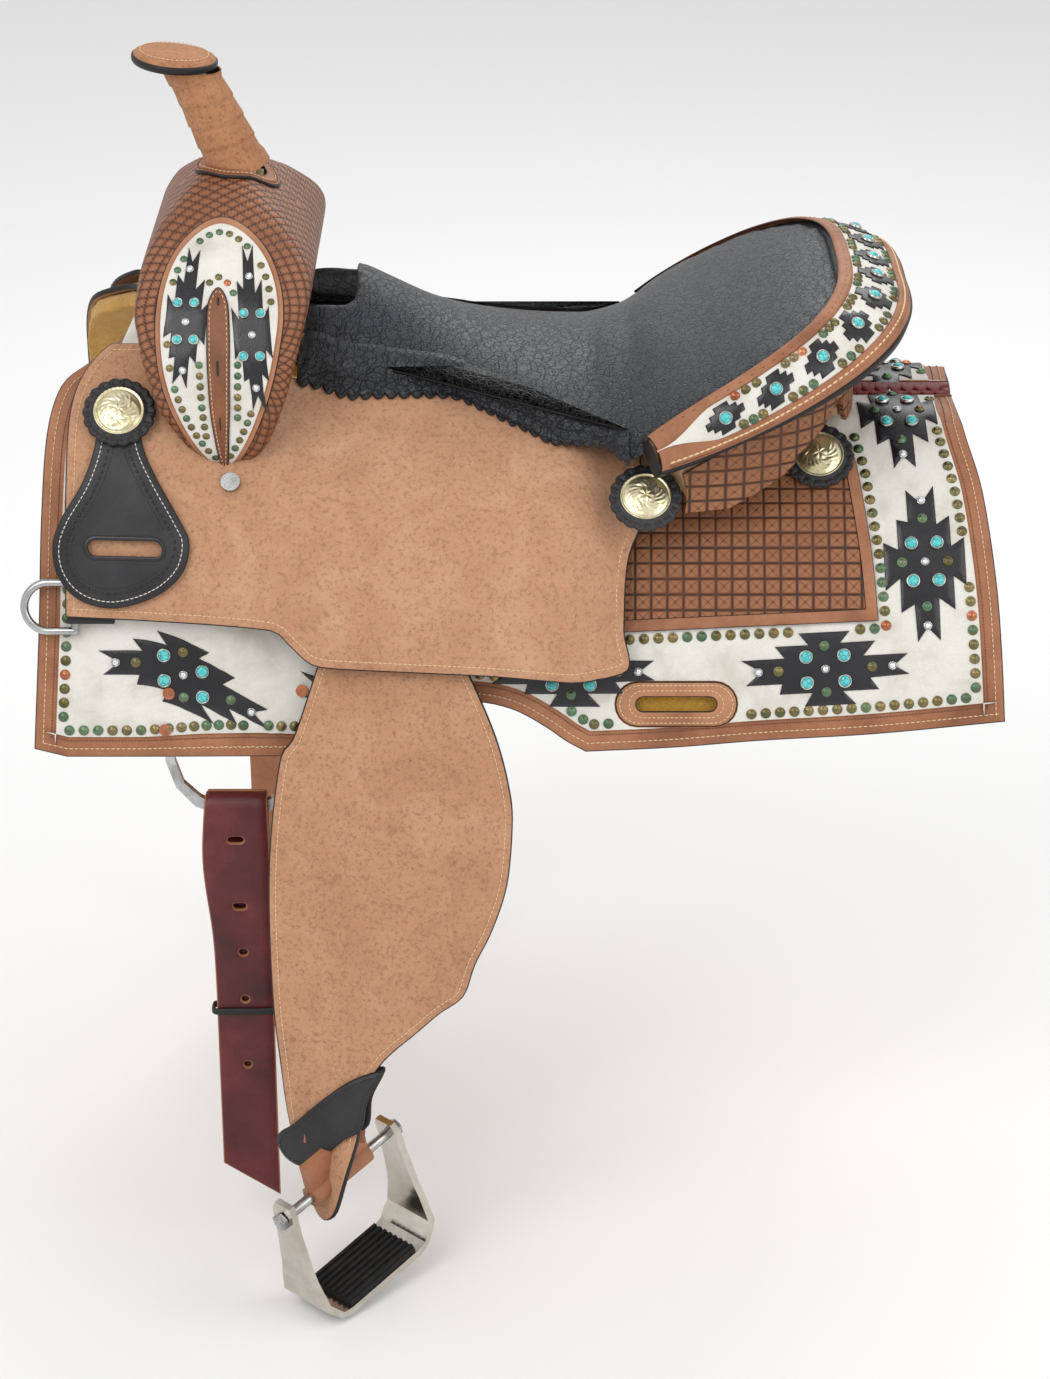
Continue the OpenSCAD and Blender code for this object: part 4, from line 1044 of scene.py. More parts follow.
shell = Shell(swell_tree, -300, -140, 30, 240)
OVAL = [(-223,204),(-243,196),(-258,178),(-264,150),(-261,115),(-250,82),(-234,54),(-219,43),(-205,60),(-191,92),(-181,128),(-178,158),(-186,182),(-203,198)]
oval_line = spline(OVAL, 4.0)
STRIP = [(-222, 168), (-229, 160), (-230, 140), (-229, 110), (-227, 80), (-222, 46), (-217, 46), (-214, 80), (-213, 110), (-213, 140), (-215, 160)]
for nm, sd in SIDES.items():
    W3 = shell.pt(sd)
    a = plate("t", oval_line, W3, 2.4, [white_leather, tan_light, white_leather], grid=4.0, h0=0.6, r=0.8)
    rim = plate("t", spline(inset(OVAL, -3.5), 4.0), W3, 1.2, [tan_light, black_edge, tan], grid=4.0, h0=0.4, r=0.6)
    b = plate("t", spline(STRIP, 3.0), W3, 2.0, [brown_tooled, black_edge, tan], grid=3.0, h0=2.8, r=0.8)
    ends = [(-221.5, 160), (-221.5, 120), (-220.5, 80), (-219.5, 50)]
    seam = plate("t", [(-223.0, 162), (-223.0, 120), (-221.8, 80), (-220.5, 47), (-219.0, 47), (-219.6, 80), (-220.2, 120), (-220.2, 162)], W3, 1.6, [black_edge, brown_tooled, tan], grid=3.0, h0=4.2, r=0.6)
    s1 = stitches("t", inset(spline(STRIP, 3.0), 2.2), W3, 4.9, thread, step=3.2, L=2.6, w=0.6)
    wl = plate("t", [(p[0], p[1]) for p in arrow(-245, 148, 84, 30, 84)], W3, 1.2, [black_gloss, black_edge, black_edge], grid=3.0, h0=2.8, r=0.5)
    wr = plate("t", [(p[0], p[1]) for p in arrow(-197, 140, 104, 27, 96)], W3, 1.2, [black_gloss, black_edge, black_edge], grid=3.0, h0=2.8, r=0.5)
    parts = [a, rim, b, seam, s1, wl, wr]
    so = join("swell_overlay_" + nm, parts)
    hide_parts("swell_overlay_" + nm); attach(so, ROOT)
    sp = [(p[0], p[1]) for p, d in walk(inset(oval_line, 5.4), 7.4)]
    sp += [(p[0], p[1]) for p, d in walk(inset(spline(STRIP, 3.0), -5.6), 7.4)]
    sp = [p for i, p in enumerate(sp) if all((p[0] - q[0]) ** 2 + (p[1] - q[1]) ** 2 > 42 for q in sp[:i])]
    A1, A2 = arrow(-245, 148, 84, 30, 84), arrow(-197, 140, 104, 27, 96)
    sp = [p for p in sp if inside(oval_line, *p) and near_line(A1, *p) > 2 and near_line(A2, *p) > 2 and not inside(A1, *p) and not inside(A2, *p)]
    stn = [(-245 + 6 * a, 148 + 11 * b, 0.85) for a in (-1, 1) for b in (-1, 1)] + [(-197 + 6 * a, 140 + 13 * b, 0.85) for a in (-1, 1) for b in (-1, 1)]
    cr = [(-245, 148), (-243, 178), (-247, 118), (-197, 140), (-200, 174), (-194, 106)]
    so2 = join("swell_studs_" + nm, [ornaments("t", W3, spots=sp, h=2.9, k=0.7), ornaments("t", W3, stones=stn, crystals=cr, h=3.9, k=0.85)])
    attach(so2, ROOT)

gc = soften("gullet_cover", "gullet_leather", 0.003, 6, brown_tooled)
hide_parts("gullet_cover"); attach(gc, ROOT)

# ------------------------------------------------------------------ horn
def frame_axis(p, ax):
    z = Vector(ax).normalized(); x = Vector((0, 1, 0)).cross(z).normalized(); y = z.cross(x)
    M = Matrix((x, y, z)).transposed().to_4x4(); M.translation = Vector(p)
    return M

def lathe(prof, n, M, mat, name, wob=None):
    """prof = [(radius, height)] in mm; wob(k, a) gives an extra radius."""
    V = []; F = []; rows = []; uv = []
    for k, (r, h) in enumerate(prof):
        row = []
        for i in range(n):
            a = 2 * math.pi * i / n
            rr = r + (wob(h, a) if wob and r > 0 else 0)
            row.append(len(V)); V.append(M @ Vector((rr * math.cos(a) / 1000, rr * math.sin(a) / 1000, h / 1000)))
            uv.append((a * r / 1000, h / 1000))
        rows.append(row)
    for a, b in zip(rows, rows[1:]):
        for i in range(n):
            j = (i + 1) % n
            F.append((a[i], a[j], b[j], b[i]))
    return mesh(name, V, F, mat, None, uv)

base_p = Vector((-0.214, 0, 0.226)); cap_p = Vector((-0.259, 0, 0.309))
ax = Vector((math.sin(math.radians(-24)), 0, math.cos(math.radians(-24))))
HM = frame_axis(base_p, ax)
def wrap(h, a):
    """four turns of a wrapped strip with a raised lap"""
    t = (h / 17.0 + a / (2 * math.pi)) % 1.0
    return 1.1 * (1 - t) * (1 if t > 0.04 else t / 0.04) + 0.5 * math.sin(a * 2 + h * 0.05)
neck = [(23.5, -4), (21.8, 4)] + [(20.6 - 0.03 * h + 2.2 * smooth01(64, 92, h), h) for h in [8 + i * 1.6 for i in range(52)]]
hw = lathe(neck, 64, HM, horn_suede, "horn_wrap", wrap)
CM = Matrix.Translation(cap_p) @ Matrix.Rotation(math.radians(6), 4, "Y")
CI = CM.inverted(); cz = CI.to_3x3() @ ax
for vx in hw.data.vertices:
    q = CI @ vx.co
    if q.z > -0.006:
        vx.co = vx.co - ax * ((q.z + 0.006) / cz.z)
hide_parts("horn_wrap"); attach(hw, ROOT)

CM = Matrix.Translation(cap_p) @ Matrix.Rotation(math.radians(6), 4, "Y")
def cap_sh(h, a): return 0.7 * math.sin(3 * a + 0.6)
cap = lathe([(0.02, 5.6), (6, 5.6), (12, 5.4), (18, 5.0), (23, 4.4), (27, 3.4), (29.6, 2.0), (30.6, 0.6), (30.8, -0.4)], 72, CM, horn_suede, "horn_cap", cap_sh)
V3 = lambda u, v, h: CM @ Vector((u / 1000, v / 1000, (5.6 - 0.0022 * (u * u + v * v) + h) / 1000))
ring = [(25.5 * math.cos(2 * math.pi * i / 60), 25.5 * math.sin(2 * math.pi * i / 60)) for i in range(60)]
cs = stitches("t", ring, V3, 0.1, thread, step=3.4, L=2.7, w=0.7)
cap = join("horn_cap", [cap, cs])
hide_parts("horn_cap"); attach(cap, ROOT)
bnd = lathe([(30.6, 0.4), (31.9, -0.2), (32.1, -1.6), (31.9, -3.8), (31.0, -5.2), (27, -6.2), (20, -7.6), (16, -9)], 72, CM, black_edge, "horn_binding", cap_sh)
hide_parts("horn_binding"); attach(bnd, ROOT)
# collar, serrated at its inner edge
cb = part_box("horn_collar")
col = []
ccx = -215.0
ctop = cb[1][2] * 1000
def top_pt(u, v, h):
    hit = swell_tree.ray_cast(Vector(((ccx + u) / 1000, v / 1000, 0.34)), Vector((0, 0, -1)), 0.4)
    z = hit[0].z * 1000 if hit[0] is not None else ctop - 4
    return Vector(((ccx + u) / 1000, v / 1000, (z + h) / 1000))
outer = [((32 * math.cos(2 * math.pi * i / 96)) * 1.0, 33 * math.sin(2 * math.pi * i / 96)) for i in range(96)]
inner = [((20.5 + 1.6 * (i % 2)) * math.cos(2 * math.pi * i / 60), (20.5 + 1.6 * (i % 2)) * math.sin(2 * math.pi * i / 60)) for i in range(60)]
co1 = plate("t", outer, top_pt, 2.4, [tan, black_edge, tan], grid=3.0, h0=0.4, r=0.8, holes=[inner])
co2 = stitches("t", inset(outer, 4.0), top_pt, 3.5, thread, step=3.4, L=2.7, w=0.65)
co3 = stitches("t", inset(outer, 2.2), top_pt, 3.3, brown_tooled, step=2.2, L=2.0, w=0.7)
co = join("horn_collar", [co1, co2, co3])
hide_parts("horn_collar"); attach(co, ROOT)

# ------------------------------------------------------------------ seat
def c3(v): return math.copysign(abs(v) ** (2 / 3), v)
seat_cad = copy_mesh("seat", "seat")
def sim_seat():
    ob = seat_cad
    m = ob.modifiers.new("r", "REMESH"); m.mode = "VOXEL"; m.voxel_size = 0.0055
    m = ob.modifiers.new("s", "SMOOTH"); m.iterations = 4; m.factor = 0.5
    bake(ob)
    me = ob.data
    base = np.array([v.co[:] for v in me.vertices])
    nrm = np.array([v.normal[:] for v in me.vertices])
    # the rim and the underside are nailed down; the crown is free
    vg = ob.vertex_groups.new(name="pin")
    tree = tree_of(ob)
    w = np.zeros(len(base))
    for i, (p, n) in enumerate(zip(base, nrm)):
        if n[2] < 0.25:
            w[i] = 1.0
    pinned = [int(i) for i in np.nonzero(w > 0.5)[0]]
    vg.add(pinned, 1.0, "REPLACE")
    c = ob.modifiers.new("cloth", "CLOTH")
    st = c.settings
    st.quality = 6; st.mass = 0.35; st.tension_stiffness = 18; st.compression_stiffness = 14; st.shear_stiffness = 8; st.bending_stiffness = 1.6
    st.use_pressure = True; st.uniform_pressure_force = 4.0
    st.vertex_group_mass = "pin"; st.pin_stiffness = 1.0
    st.effector_weights.gravity = 0.0
    c.collision_settings.use_collision = False; c.collision_settings.use_self_collision = False
    sc = bpy.context.scene; sc.frame_start = 1; sc.frame_end = 20
    c.point_cache.frame_start = 1; c.point_cache.frame_end = 20
    for f in range(1, 21):
        sc.frame_set(f)
    dg = bpy.context.evaluated_depsgraph_get()
    ev = ob.evaluated_get(dg); m2 = bpy.data.meshes.new_from_object(ev)
    out = np.array([v.co[:] for v in m2.vertices])
    bpy.data.meshes.remove(m2)
    ob.modifiers.clear(); sc.frame_set(1)
    d = out - base; L = np.linalg.norm(d, axis=1)
    k = np.minimum(1.0, 0.006 / np.maximum(L, 1e-9))
    new = base + d * k[:, None]
    me.vertices.foreach_set("co", new.ravel()); me.update()
    print("seat moved", float(L.max()))
    return ob
seat = sim_seat()
m = seat.modifiers.new("s", "SMOOTH"); m.iterations = 5; m.factor = 0.5
m = seat.modifiers.new("sub", "SUBSURF"); m.levels = m.render_levels = 1
bake(seat)
seat.data.materials.clear(); seat.data.materials.append(seat_mat)
def taper_seat():
    me = seat.data; tr = tree_of(seat)
    for v in me.vertices:
        x, y, z = v.co.x * 1000, abs(v.co.y) * 1000, v.co.z * 1000
        if x > 77: continue
        w = float(np.interp(x, [p[0] for p in HW], [p[1] for p in HW]))
        k = smooth01(w - 26, w - 6, y) * 0.6 * smooth01(-30, 30, x)
        if k <= 0: continue
        hit = tr.ray_cast(Vector((v.co.x, v.co.y, 0.3)), Vector((0, 0, -1)), 0.4)
        if hit[0] is not None and hit[0].z > v.co.z:
            v.co.z += (hit[0].z - v.co.z) * k
    me.update()
HW = [(-172,66),(-130,76),(-87,72),(-49,74),(-4,98),(39,124),(70,146),(77,160)]
def fit_seat():
    for v in seat.data.vertices:
        x, y = v.co.x * 1000, v.co.y * 1000
        k = smooth01(40, 120, x)
        f = 1 + 0.024 * k
        v.co.x = (77 + (x - 77) * f) / 1000 if x > 77 else v.co.x
        v.co.y = y * f / 1000; v.co.z += 0.0045 * k
    seat.data.update()
taper_seat(); fit_seat()
seat_tree = tree_of(seat)

ZC = [(-172,158),(-149,162),(-103,138),(-71,120),(-41,108),(-8,98),(21,94),(52,95),(86,100),(130,112),(180,134),(211,146),(240,156)]
ZE = [(-172,100),(-130,93),(-87,93),(-49,92),(-4,80),(39,68),(70,62),(77,58)]
HW = [(-172,66),(-130,76),(-87,72),(-49,74),(-4,98),(39,124),(70,146),(77,160)]
def interp(P, x): return float(np.interp(x, [p[0] for p in P], [p[1] for p in P]))
# the seat leather's skirt with a scalloped lower edge, lying on the jockey
def apron(side, name):
    """a band along the seat's lower edge: u along it, v outwards from the seat"""
    path = []
    for x in np.arange(-170, 78, 2.0):
        w = interp(HW, x); z = interp(ZE, x)
        path.append((x, w, z))
    P = np.array(path)
    for _ in range(6):
        P[1:-1] = (P[:-2] + P[2:] + 2 * P[1:-1]) / 4
    d = np.gradient(P, axis=0); sl = np.concatenate([[0], np.cumsum(np.linalg.norm(np.diff(P, axis=0), axis=1))])
    L = sl[-1]
    prof_cache = {}
    def section(i):
        key = round(i, 1)
        if key in prof_cache: return prof_cache[key]
        x, y, z = (float(np.interp(i, np.arange(len(P)), P[:, k])) for k in range(3))
        def top(yy):
            hit = seat_tree.ray_cast(Vector((x / 1000, side * yy / 1000, 0.3)), Vector((0, 0, -1)), 0.4)
            return hit[0].z * 1000 if hit[0] is not None else z
        Pj, Sj = JKS.prof(x)[0], JKS.prof(x)[1]
        k2 = 1 - smooth01(12, 58, x)
        ye = y - 2
        for zz in (z + 3, z, z - 3, z - 6, z - 9, z - 12):
            hit = seat_tree.ray_cast(Vector((x / 1000, side * 0.26, zz / 1000)), Vector((0, -side, 0)), 0.26)
            if hit[0] is not None: ye = max(ye, min(y + 12, abs(hit[0].y) * 1000))
        y = ye
        s0 = float(np.interp(max(y + 2.5, Pj[0, 0]), Pj[:, 0], Sj))
        def jp(ds):
            q = JKS.point(x, s0 + ds, 5.0, 1); return np.array([q.y * 1000, q.z * 1000])
        A = np.array([y - 15, top(y - 15) + 0.2]); B = np.array([y - 5, top(y - 5) + 0.7])
        C = np.array([y + 2.0, top(y - 2) - 3.0])
        D = jp(1) * k2 + np.array([y + 2.8, z - 6.0]) * (1 - k2)
        E = jp(9) * k2 + np.array([y + 3.6, z - 11.0]) * (1 - k2)
        if x < -120:
            C = np.maximum(C, jp(0))
        Q = dense([A, B, C, D, E], 6)
        d = np.hypot(*np.diff(Q, axis=0).T); SS = np.concatenate([[0], np.cumsum(d)]); SS = SS / SS[-1]
        t = np.gradient(Q, axis=0); t /= np.maximum(np.linalg.norm(t, axis=1), 1e-9)[:, None]
        prof_cache[key] = (x, Q, SS, np.stack([-t[:, 1], t[:, 0]], axis=1))
        return prof_cache[key]
    def f(u, v, h):
        x, Q, SS, N = section(float(np.interp(u, sl, np.arange(len(P)))))
        q = min(1.0, max(0.0, v / 22.0))
        y, z = np.interp(q, SS, Q[:, 0]), np.interp(q, SS, Q[:, 1])
        ny, nz = np.interp(q, SS, N[:, 0]), np.interp(q, SS, N[:, 1])
        if ny < 0 and nz < 0: ny, nz = -ny, -nz
        n = math.hypot(ny, nz) or 1
        return Vector((x / 1000, side * (y + h * ny / n) / 1000, (z + h * nz / n) / 1000))
    W = 22.0
    n = int(L / 9.4)
    outl = [(0, 0)] + [(L, 0)] + [(L, W - 2)]
    for i in range(n - 1, -1, -1):
        for t in (0.98, 0.9, 0.77, 0.6, 0.4, 0.23, 0.1, 0.02):
            outl.append((L * (i + t) / n, W - 3.8 + 3.8 * math.sqrt(max(0.0, 1 - (2 * t - 1) ** 2))))
    a = plate(name, outl, f, 2.4, [seat_mat, black_edge, black_edge], grid=3.0, h0=0.4, r=0.6)
    s1 = stitches("t", [(2, W - 5.5), (L - 2, W - 5.5)], f, 2.9, thread_black, step=3.0, L=2.4, w=0.7, closed=False)
    s2 = stitches("t", [(2, W - 8.0), (L - 2, W - 8.0)], f, 2.9, thread_black, step=3.0, L=2.4, w=0.7, closed=False)
    return join(name, [a, s1, s2])
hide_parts("seat"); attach(seat, ROOT)
for nm, sd in SIDES.items():
    ap = apron(sd, "seat_scallops_" + nm)
    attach(ap, ROOT)

# ------------------------------------------------------------------ cantle roll
_ts = np.linspace(-90, 90, 721)
_I = np.array([(77 + 158 * c3(math.cos(math.radians(t))), 164.5 * c3(math.sin(math.radians(t)))) for t in _ts])
_O = np.array([(77 + 8 * abs(math.sin(math.radians(t))) + 210 * c3(math.cos(math.radians(t))), 180 * c3(math.sin(math.radians(t)))) for t in _ts])
_M = (_I + _O) / 2
_T = np.gradient(_M, axis=0); _T /= np.linalg.norm(_T, axis=1)[:, None]
def _square(C):
    out = []
    for k in range(len(_M)):
        d = C - _M[k]
        c = np.abs(d @ _T[k]) + np.maximum(0, np.linalg.norm(d, axis=1) - 45) * 2
        j = int(np.argmin(c))
        out.append(_ts[j])
    out = np.array(out); e = np.minimum(np.arange(721), 720 - np.arange(721)) / 90.0
    e = np.clip(e, 0, 1)
    out = out * e + _ts * (1 - e)
    k = np.ones(31) / 31
    return np.convolve(np.pad(out, 15, mode="edge"), k, mode="valid")
_TI, _TO = _square(_I), _square(_O)
def roll_pt(t, a, h):
    """t: angle round the roll (deg, 0 at the back), a: 0 at the inner edge, 1 at the outer, h: height"""
    r = math.radians(float(np.interp(t, _ts, _TI)))
    ix, iy = 77 + 158 * c3(math.cos(r)), 164.5 * c3(math.sin(r))
    r = math.radians(float(np.interp(t, _ts, _TO)))
    ox, oy = 77 + 8 * abs(math.sin(r)) + 210 * c3(math.cos(r)), 180 * c3(math.sin(r))
    iz = 57 + 98 * max(0, (ix - 77) / 157) ** 0.8 + 3
    oz = 46 + 92 * max(0, (ox - 80) / 207) ** 1.2
    I = Vector((ix, iy, iz)); O = Vector((ox, oy, oz))
    p = I.lerp(O, a)
    d = (O - I); L = d.length
    n = Vector((-d.z * d.x, -d.z * d.y, d.x ** 2 + d.y ** 2)).normalized()
    crown = 4.5 * math.sin(math.pi * min(1, max(0, a))) * min(1.0, L / 30)
    return (p + n * (crown + h)) / 1000
def roll_len():
    ts = np.linspace(-90, 90, 721)
    P = np.array([roll_pt(t, 0.5, 0)[:] for t in ts]) * 1000
    return ts, np.concatenate([[0], np.cumsum(np.linalg.norm(np.diff(P, axis=0), axis=1))])
RT, RS = roll_len(); RL = RS[-1]
def width_at(u):
    t = float(np.interp(u, RS, RT))
    return (roll_pt(t, 1, 0) - roll_pt(t, 0, 0)).length * 1000
def R3(u, v, h):
    """u: mm along the roll, v: mm from its inner edge"""
    t = float(np.interp(u, RS, RT))
    return roll_pt(t, v / max(6.0, width_at(u)), h)
def tip(u): return smooth01(52, 4, min(u, RL - u))
def roll_strip(name, a0, a1, h0, t, mats, step=3.0, rows=6, u0=0.0, u1=None, to0=None, to1=None):
    b0, b1 = a0, a1
    u1 = RL if u1 is None else u1
    V = []; F = []; mi = []; grid = []
    us = np.linspace(u0, u1, int((u1 - u0) / step))
    for u in us:
        a0 = b0 if to0 is None else b0 + (to0 - b0) * tip(u); a1 = b1 if to1 is None else b1 + (to1 - b1) * tip(u)
        tt = float(np.interp(u, RS, RT)); row = []
        prof = [(a0, h0)] + [(a0 + (a1 - a0) * q, h0 + t * (1 - max(0, (abs(2 * q - 1) - 0.8) / 0.2) ** 2 * 0.7)) for q in np.linspace(0, 1, rows + 1)] + [(a1, h0)]
        for a, h in prof:
            row.append(len(V)); V.append(roll_pt(tt, a, h))
        grid.append(row)
    n = len(grid[0])
    for g, k in zip(grid, grid[1:]):
        for j in range(n - 1):
            F.append((g[j], g[j + 1], k[j + 1], k[j])); mi.append(1 if j in (0, n - 2) else 0)
    F.append(tuple(grid[0])); mi.append(1); F.append(tuple(grid[-1][::-1])); mi.append(1)
    ob = mesh(name, V, F, mats, mi)
    bm = bmesh.new(); bm.from_mesh(ob.data); bmesh.ops.recalc_face_normals(bm, faces=bm.faces); bm.to_mesh(ob.data); bm.free()
    return ob
core = roll_strip("t", -0.01, 1.0, -11.0, 11.2, [black_leather, black_edge], rows=10)
white = roll_strip("t", 0.1, 0.86, 0.2, 1.5, [white_leather, tan_light], rows=10)
inn = roll_strip("t", -0.02, 0.17, 0.6, 2.6, [tan, black_edge], to1=0.5)
outr = roll_strip("t", 0.8, 1.0, 0.6, 2.6, [tan, black_edge], to0=0.49)
blk = roll_strip("t", 0.985, 1.045, -9.0, 9.5, [black_edge, black_edge])
pts_o = [(u, 0.895 * width_at(u)) for u in np.linspace(6, RL - 6, 260)]
pts_i = [(u, 0.075 * width_at(u)) for u in np.linspace(6, RL - 6, 260)]
rope = stitches("t", pts_o, R3, 3.3, thread, step=4.6, L=4.4, w=1.5, closed=False, jitter=0.0)
gro = stitches("t", [(u, v + 2.6) for u, v in pts_o], R3, 2.9, brown_tooled, step=2.4, L=2.2, w=0.8, closed=False)
ist = stitches("t", pts_i, R3, 3.1, brown_tooled, step=9.0, L=3.0, w=0.7, closed=False)
roll = join("cantle_roll", [core, white, inn, outr, blk, rope, gro, ist])
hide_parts("cantle_roll"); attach(roll, ROOT)

DIAM = [(-1, .27), (-.7, .27), (-.7, .6), (-.36, .6), (-.36, 1), (.36, 1), (.36, .6), (.7, .6), (.7, .27), (1, .27),
        (1, -.27), (.7, -.27), (.7, -.6), (.36, -.6), (.36, -1), (-.36, -1), (-.36, -.6), (-.7, -.6), (-.7, -.27), (-1, -.27)]
dm = []; rs = []; rsp = []
ND = 13; gap = RL / (ND + 1.6)
for i in range(ND):
    u = RL / 2 + (i - (ND - 1) / 2) * gap
    w = width_at(u) * 0.64
    vc = width_at(u) * 0.485
    k = min(1.0, w / 36.0)
    if w < 13: continue
    dm.append(plate("t", [(u + a * 15.5, vc + b * 14.5 * k) for a, b in DIAM], R3, 1.3, [black_gloss, black_edge, black_edge], grid=4.0, h0=1.5, r=0.5, under=False))
    rs.append((u, vc, 0.98))
    if i < ND - 1:
        for e in (-1, 0, 1):
            uu = u + gap / 2 + e * 8.4
            ww = width_at(uu)
            if ww * 0.64 > 20:
                rsp.append((uu, ww * 0.485 - ww * 0.32 * 0.78)); rsp.append((uu, ww * 0.485 + ww * 0.32 * 0.78))
rd = join("cantle_diamonds", dm)
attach(rd, ROOT)
ro = join("cantle_studs", [ornaments("t", R3, spots=rsp, h=1.6, k=0.95), ornaments("t", R3, stones=rs, h=2.6)])
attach(ro, ROOT)

# ------------------------------------------------------------------ rosettes, conchos, braid
def tilt(x, y, z, a, side):
    """A place on the jockey: z outwards, tilted by a degrees from upright."""
    M = Matrix.Translation((x / 1000, y / 1000, z / 1000)) @ Matrix.Rotation(math.radians(-a), 4, "X")
    if side < 0:
        M = Matrix.Scale(-1, 4, (0, 1, 0)) @ M
    return M
ros = []; con = []
for nm, sd in SIDES.items():
    for i, (x, y, z, a, h, r) in enumerate([(-296, 130.5, 74.2, 47, 10.5, 26), (88, 158, 18.5, 42, 7, 26), (219, 92, 26, 41.6, 7, 26)]):
        T = tilt(x, y, z, a, sd) @ Matrix.Translation((0, 0, h / 1000))
        ros.append(rosette("t", T, r)); con.append(concho("t", T @ Matrix.Translation((0, 0, 0.0030))))
rosettes = join("rosettes", ros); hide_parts("rosettes"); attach(rosettes, ROOT)
conchos = join("conchos", con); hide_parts("conchos"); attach(conchos, ROOT)

def braid(name):
    """a flat three-strand plait over the join of the skirts"""
    V = []; F = []
    x0, x1 = 226.0, 322.0
    for k in range(3):
        ph = k * 2 * math.pi / 3
        rows = []
        N = 120
        for i in range(N + 1):
            t = i / N; x = x0 + (x1 - x0) * t
            a = t * 2 * math.pi * 3.2 + ph
            y = 8.5 * math.sin(a); lift = 2.2 * math.cos(2 * a) + 2.4
            dy = 8.5 * math.cos(a) * 2 * math.pi * 3.2 / (x1 - x0)
            d = Vector((1, dy, 0)).normalized(); nrm = Vector((-d.y, d.x, 0))
            zb = SKS.prof(x)[0]; zz = float(np.interp(abs(y), zb[:, 0], zb[:, 1])) + 2.6
            row = []
            for j in range(8):
                b = 2 * math.pi * j / 8
                q = Vector((x, y, zz + lift)) + nrm * (5.2 * math.cos(b)) + Vector((0, 0, 1.5 * math.sin(b)))
                row.append(len(V)); V.append(q / 1000)
            rows.append(row)
        for a_, b_ in zip(rows, rows[1:]):
            for j in range(8): F.append((a_[j], b_[j], b_[(j + 1) % 8], a_[(j + 1) % 8]))
        F.append(tuple(rows[0])); F.append(tuple(rows[-1][::-1]))
    return mesh(name, V, F, braid_mat)
br = braid("spine_braid"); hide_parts("spine_lacing"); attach(br, ROOT)

# ------------------------------------------------------------------ breast collar keepers
for nm, sd in SIDES.items():
    J3 = on(JKS, sd)
    kl = [(p[0], JKS.at_z(p[0], min(p[1], JKS.prof(p[0])[0][:, 1].max() - 0.6))) for p in spline(KEEPER_O, 4.0, True, corners=(0, 1))]
    ks = JKS.at_z(-291, -8)
    hole = slot_ring(-291, ks, 54, 11)
    a = plate("t", kl, J3, 3.5, [black_leather, black_edge, black_leather], grid=4.0, holes=[hole], h0=5.8)
    rim = plate("t", slot_ring(-291, ks, 60, 17), J3, 0.8, [black_gloss, black_edge, black_edge], grid=3.0, h0=9.2, r=0.4, holes=[hole], under=False)
    s1 = stitches("t", inset(kl, 5.0), J3, 9.5, thread_white, step=3.5, L=2.9, w=0.7)
    s2 = stitches("t", inset(kl, 10.5), J3, 9.25, black_gloss, step=5.0, L=3.6, w=1.6)
    s3 = stitches("t", inset(kl, 14.0), J3, 9.25, black_gloss, step=2.6, L=2.2, w=0.7, keep=lambda u, v, k=ks: abs(u + 291) > 36 or abs(v - k) > 13)
    kp = join("keeper_" + nm, [a, rim, s1, s2, s3])
    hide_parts("keeper_" + nm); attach(kp, "keeper_%s_body" % nm)

# ------------------------------------------------------------------ fenders
FENDER_O = [(-138,108),(-68,108),(-52,84),(-40,63),(-21,17),(-11,-23),(-9,-50),(-13,-95),(-24,-130),(-37,-157),(-46,-182),(-64,-196),(-82,-212),(-106,-233),(-119,-256),(-120,-280),(-124,-305),(-140,-352),(-158,-360),(-178,-330),(-182,-300),(-184,-244),(-189,-187),(-191,-109),(-188,-50),(-180,4),(-171,17),(-159,51),(-148,84)]
FP = Matrix.Translation((0, 0.212, -0.163)) @ Matrix.Rotation(math.radians(12), 4, "X")
def fender3(side):
    """x, z on the fender's plane; the tail turns outwards towards the stirrup"""
    def f(u, v, h):
        w = smooth01(-205, -345, v)
        bow = 5.0 * math.sin(math.pi * min(1, max(0, (100 - v) / 320))) - 3.0 * ((u + 105) / 90) ** 2 * smooth01(90, 40, v) * smooth01(-190, -100, v)
        ax0 = -148.0
        ang = math.radians(46) * w
        du = u - ax0
        uu = ax0 + du * math.cos(ang) - (h - 5) * math.sin(ang)
        yy = 5 + du * math.sin(ang) + (h - 5) * math.cos(ang) + 4.0 * w
        p = FP @ Vector((uu / 1000, (yy + bow * (1 - w)) / 1000, v / 1000))
        return Vector((p.x, side * p.y, p.z))
    return f
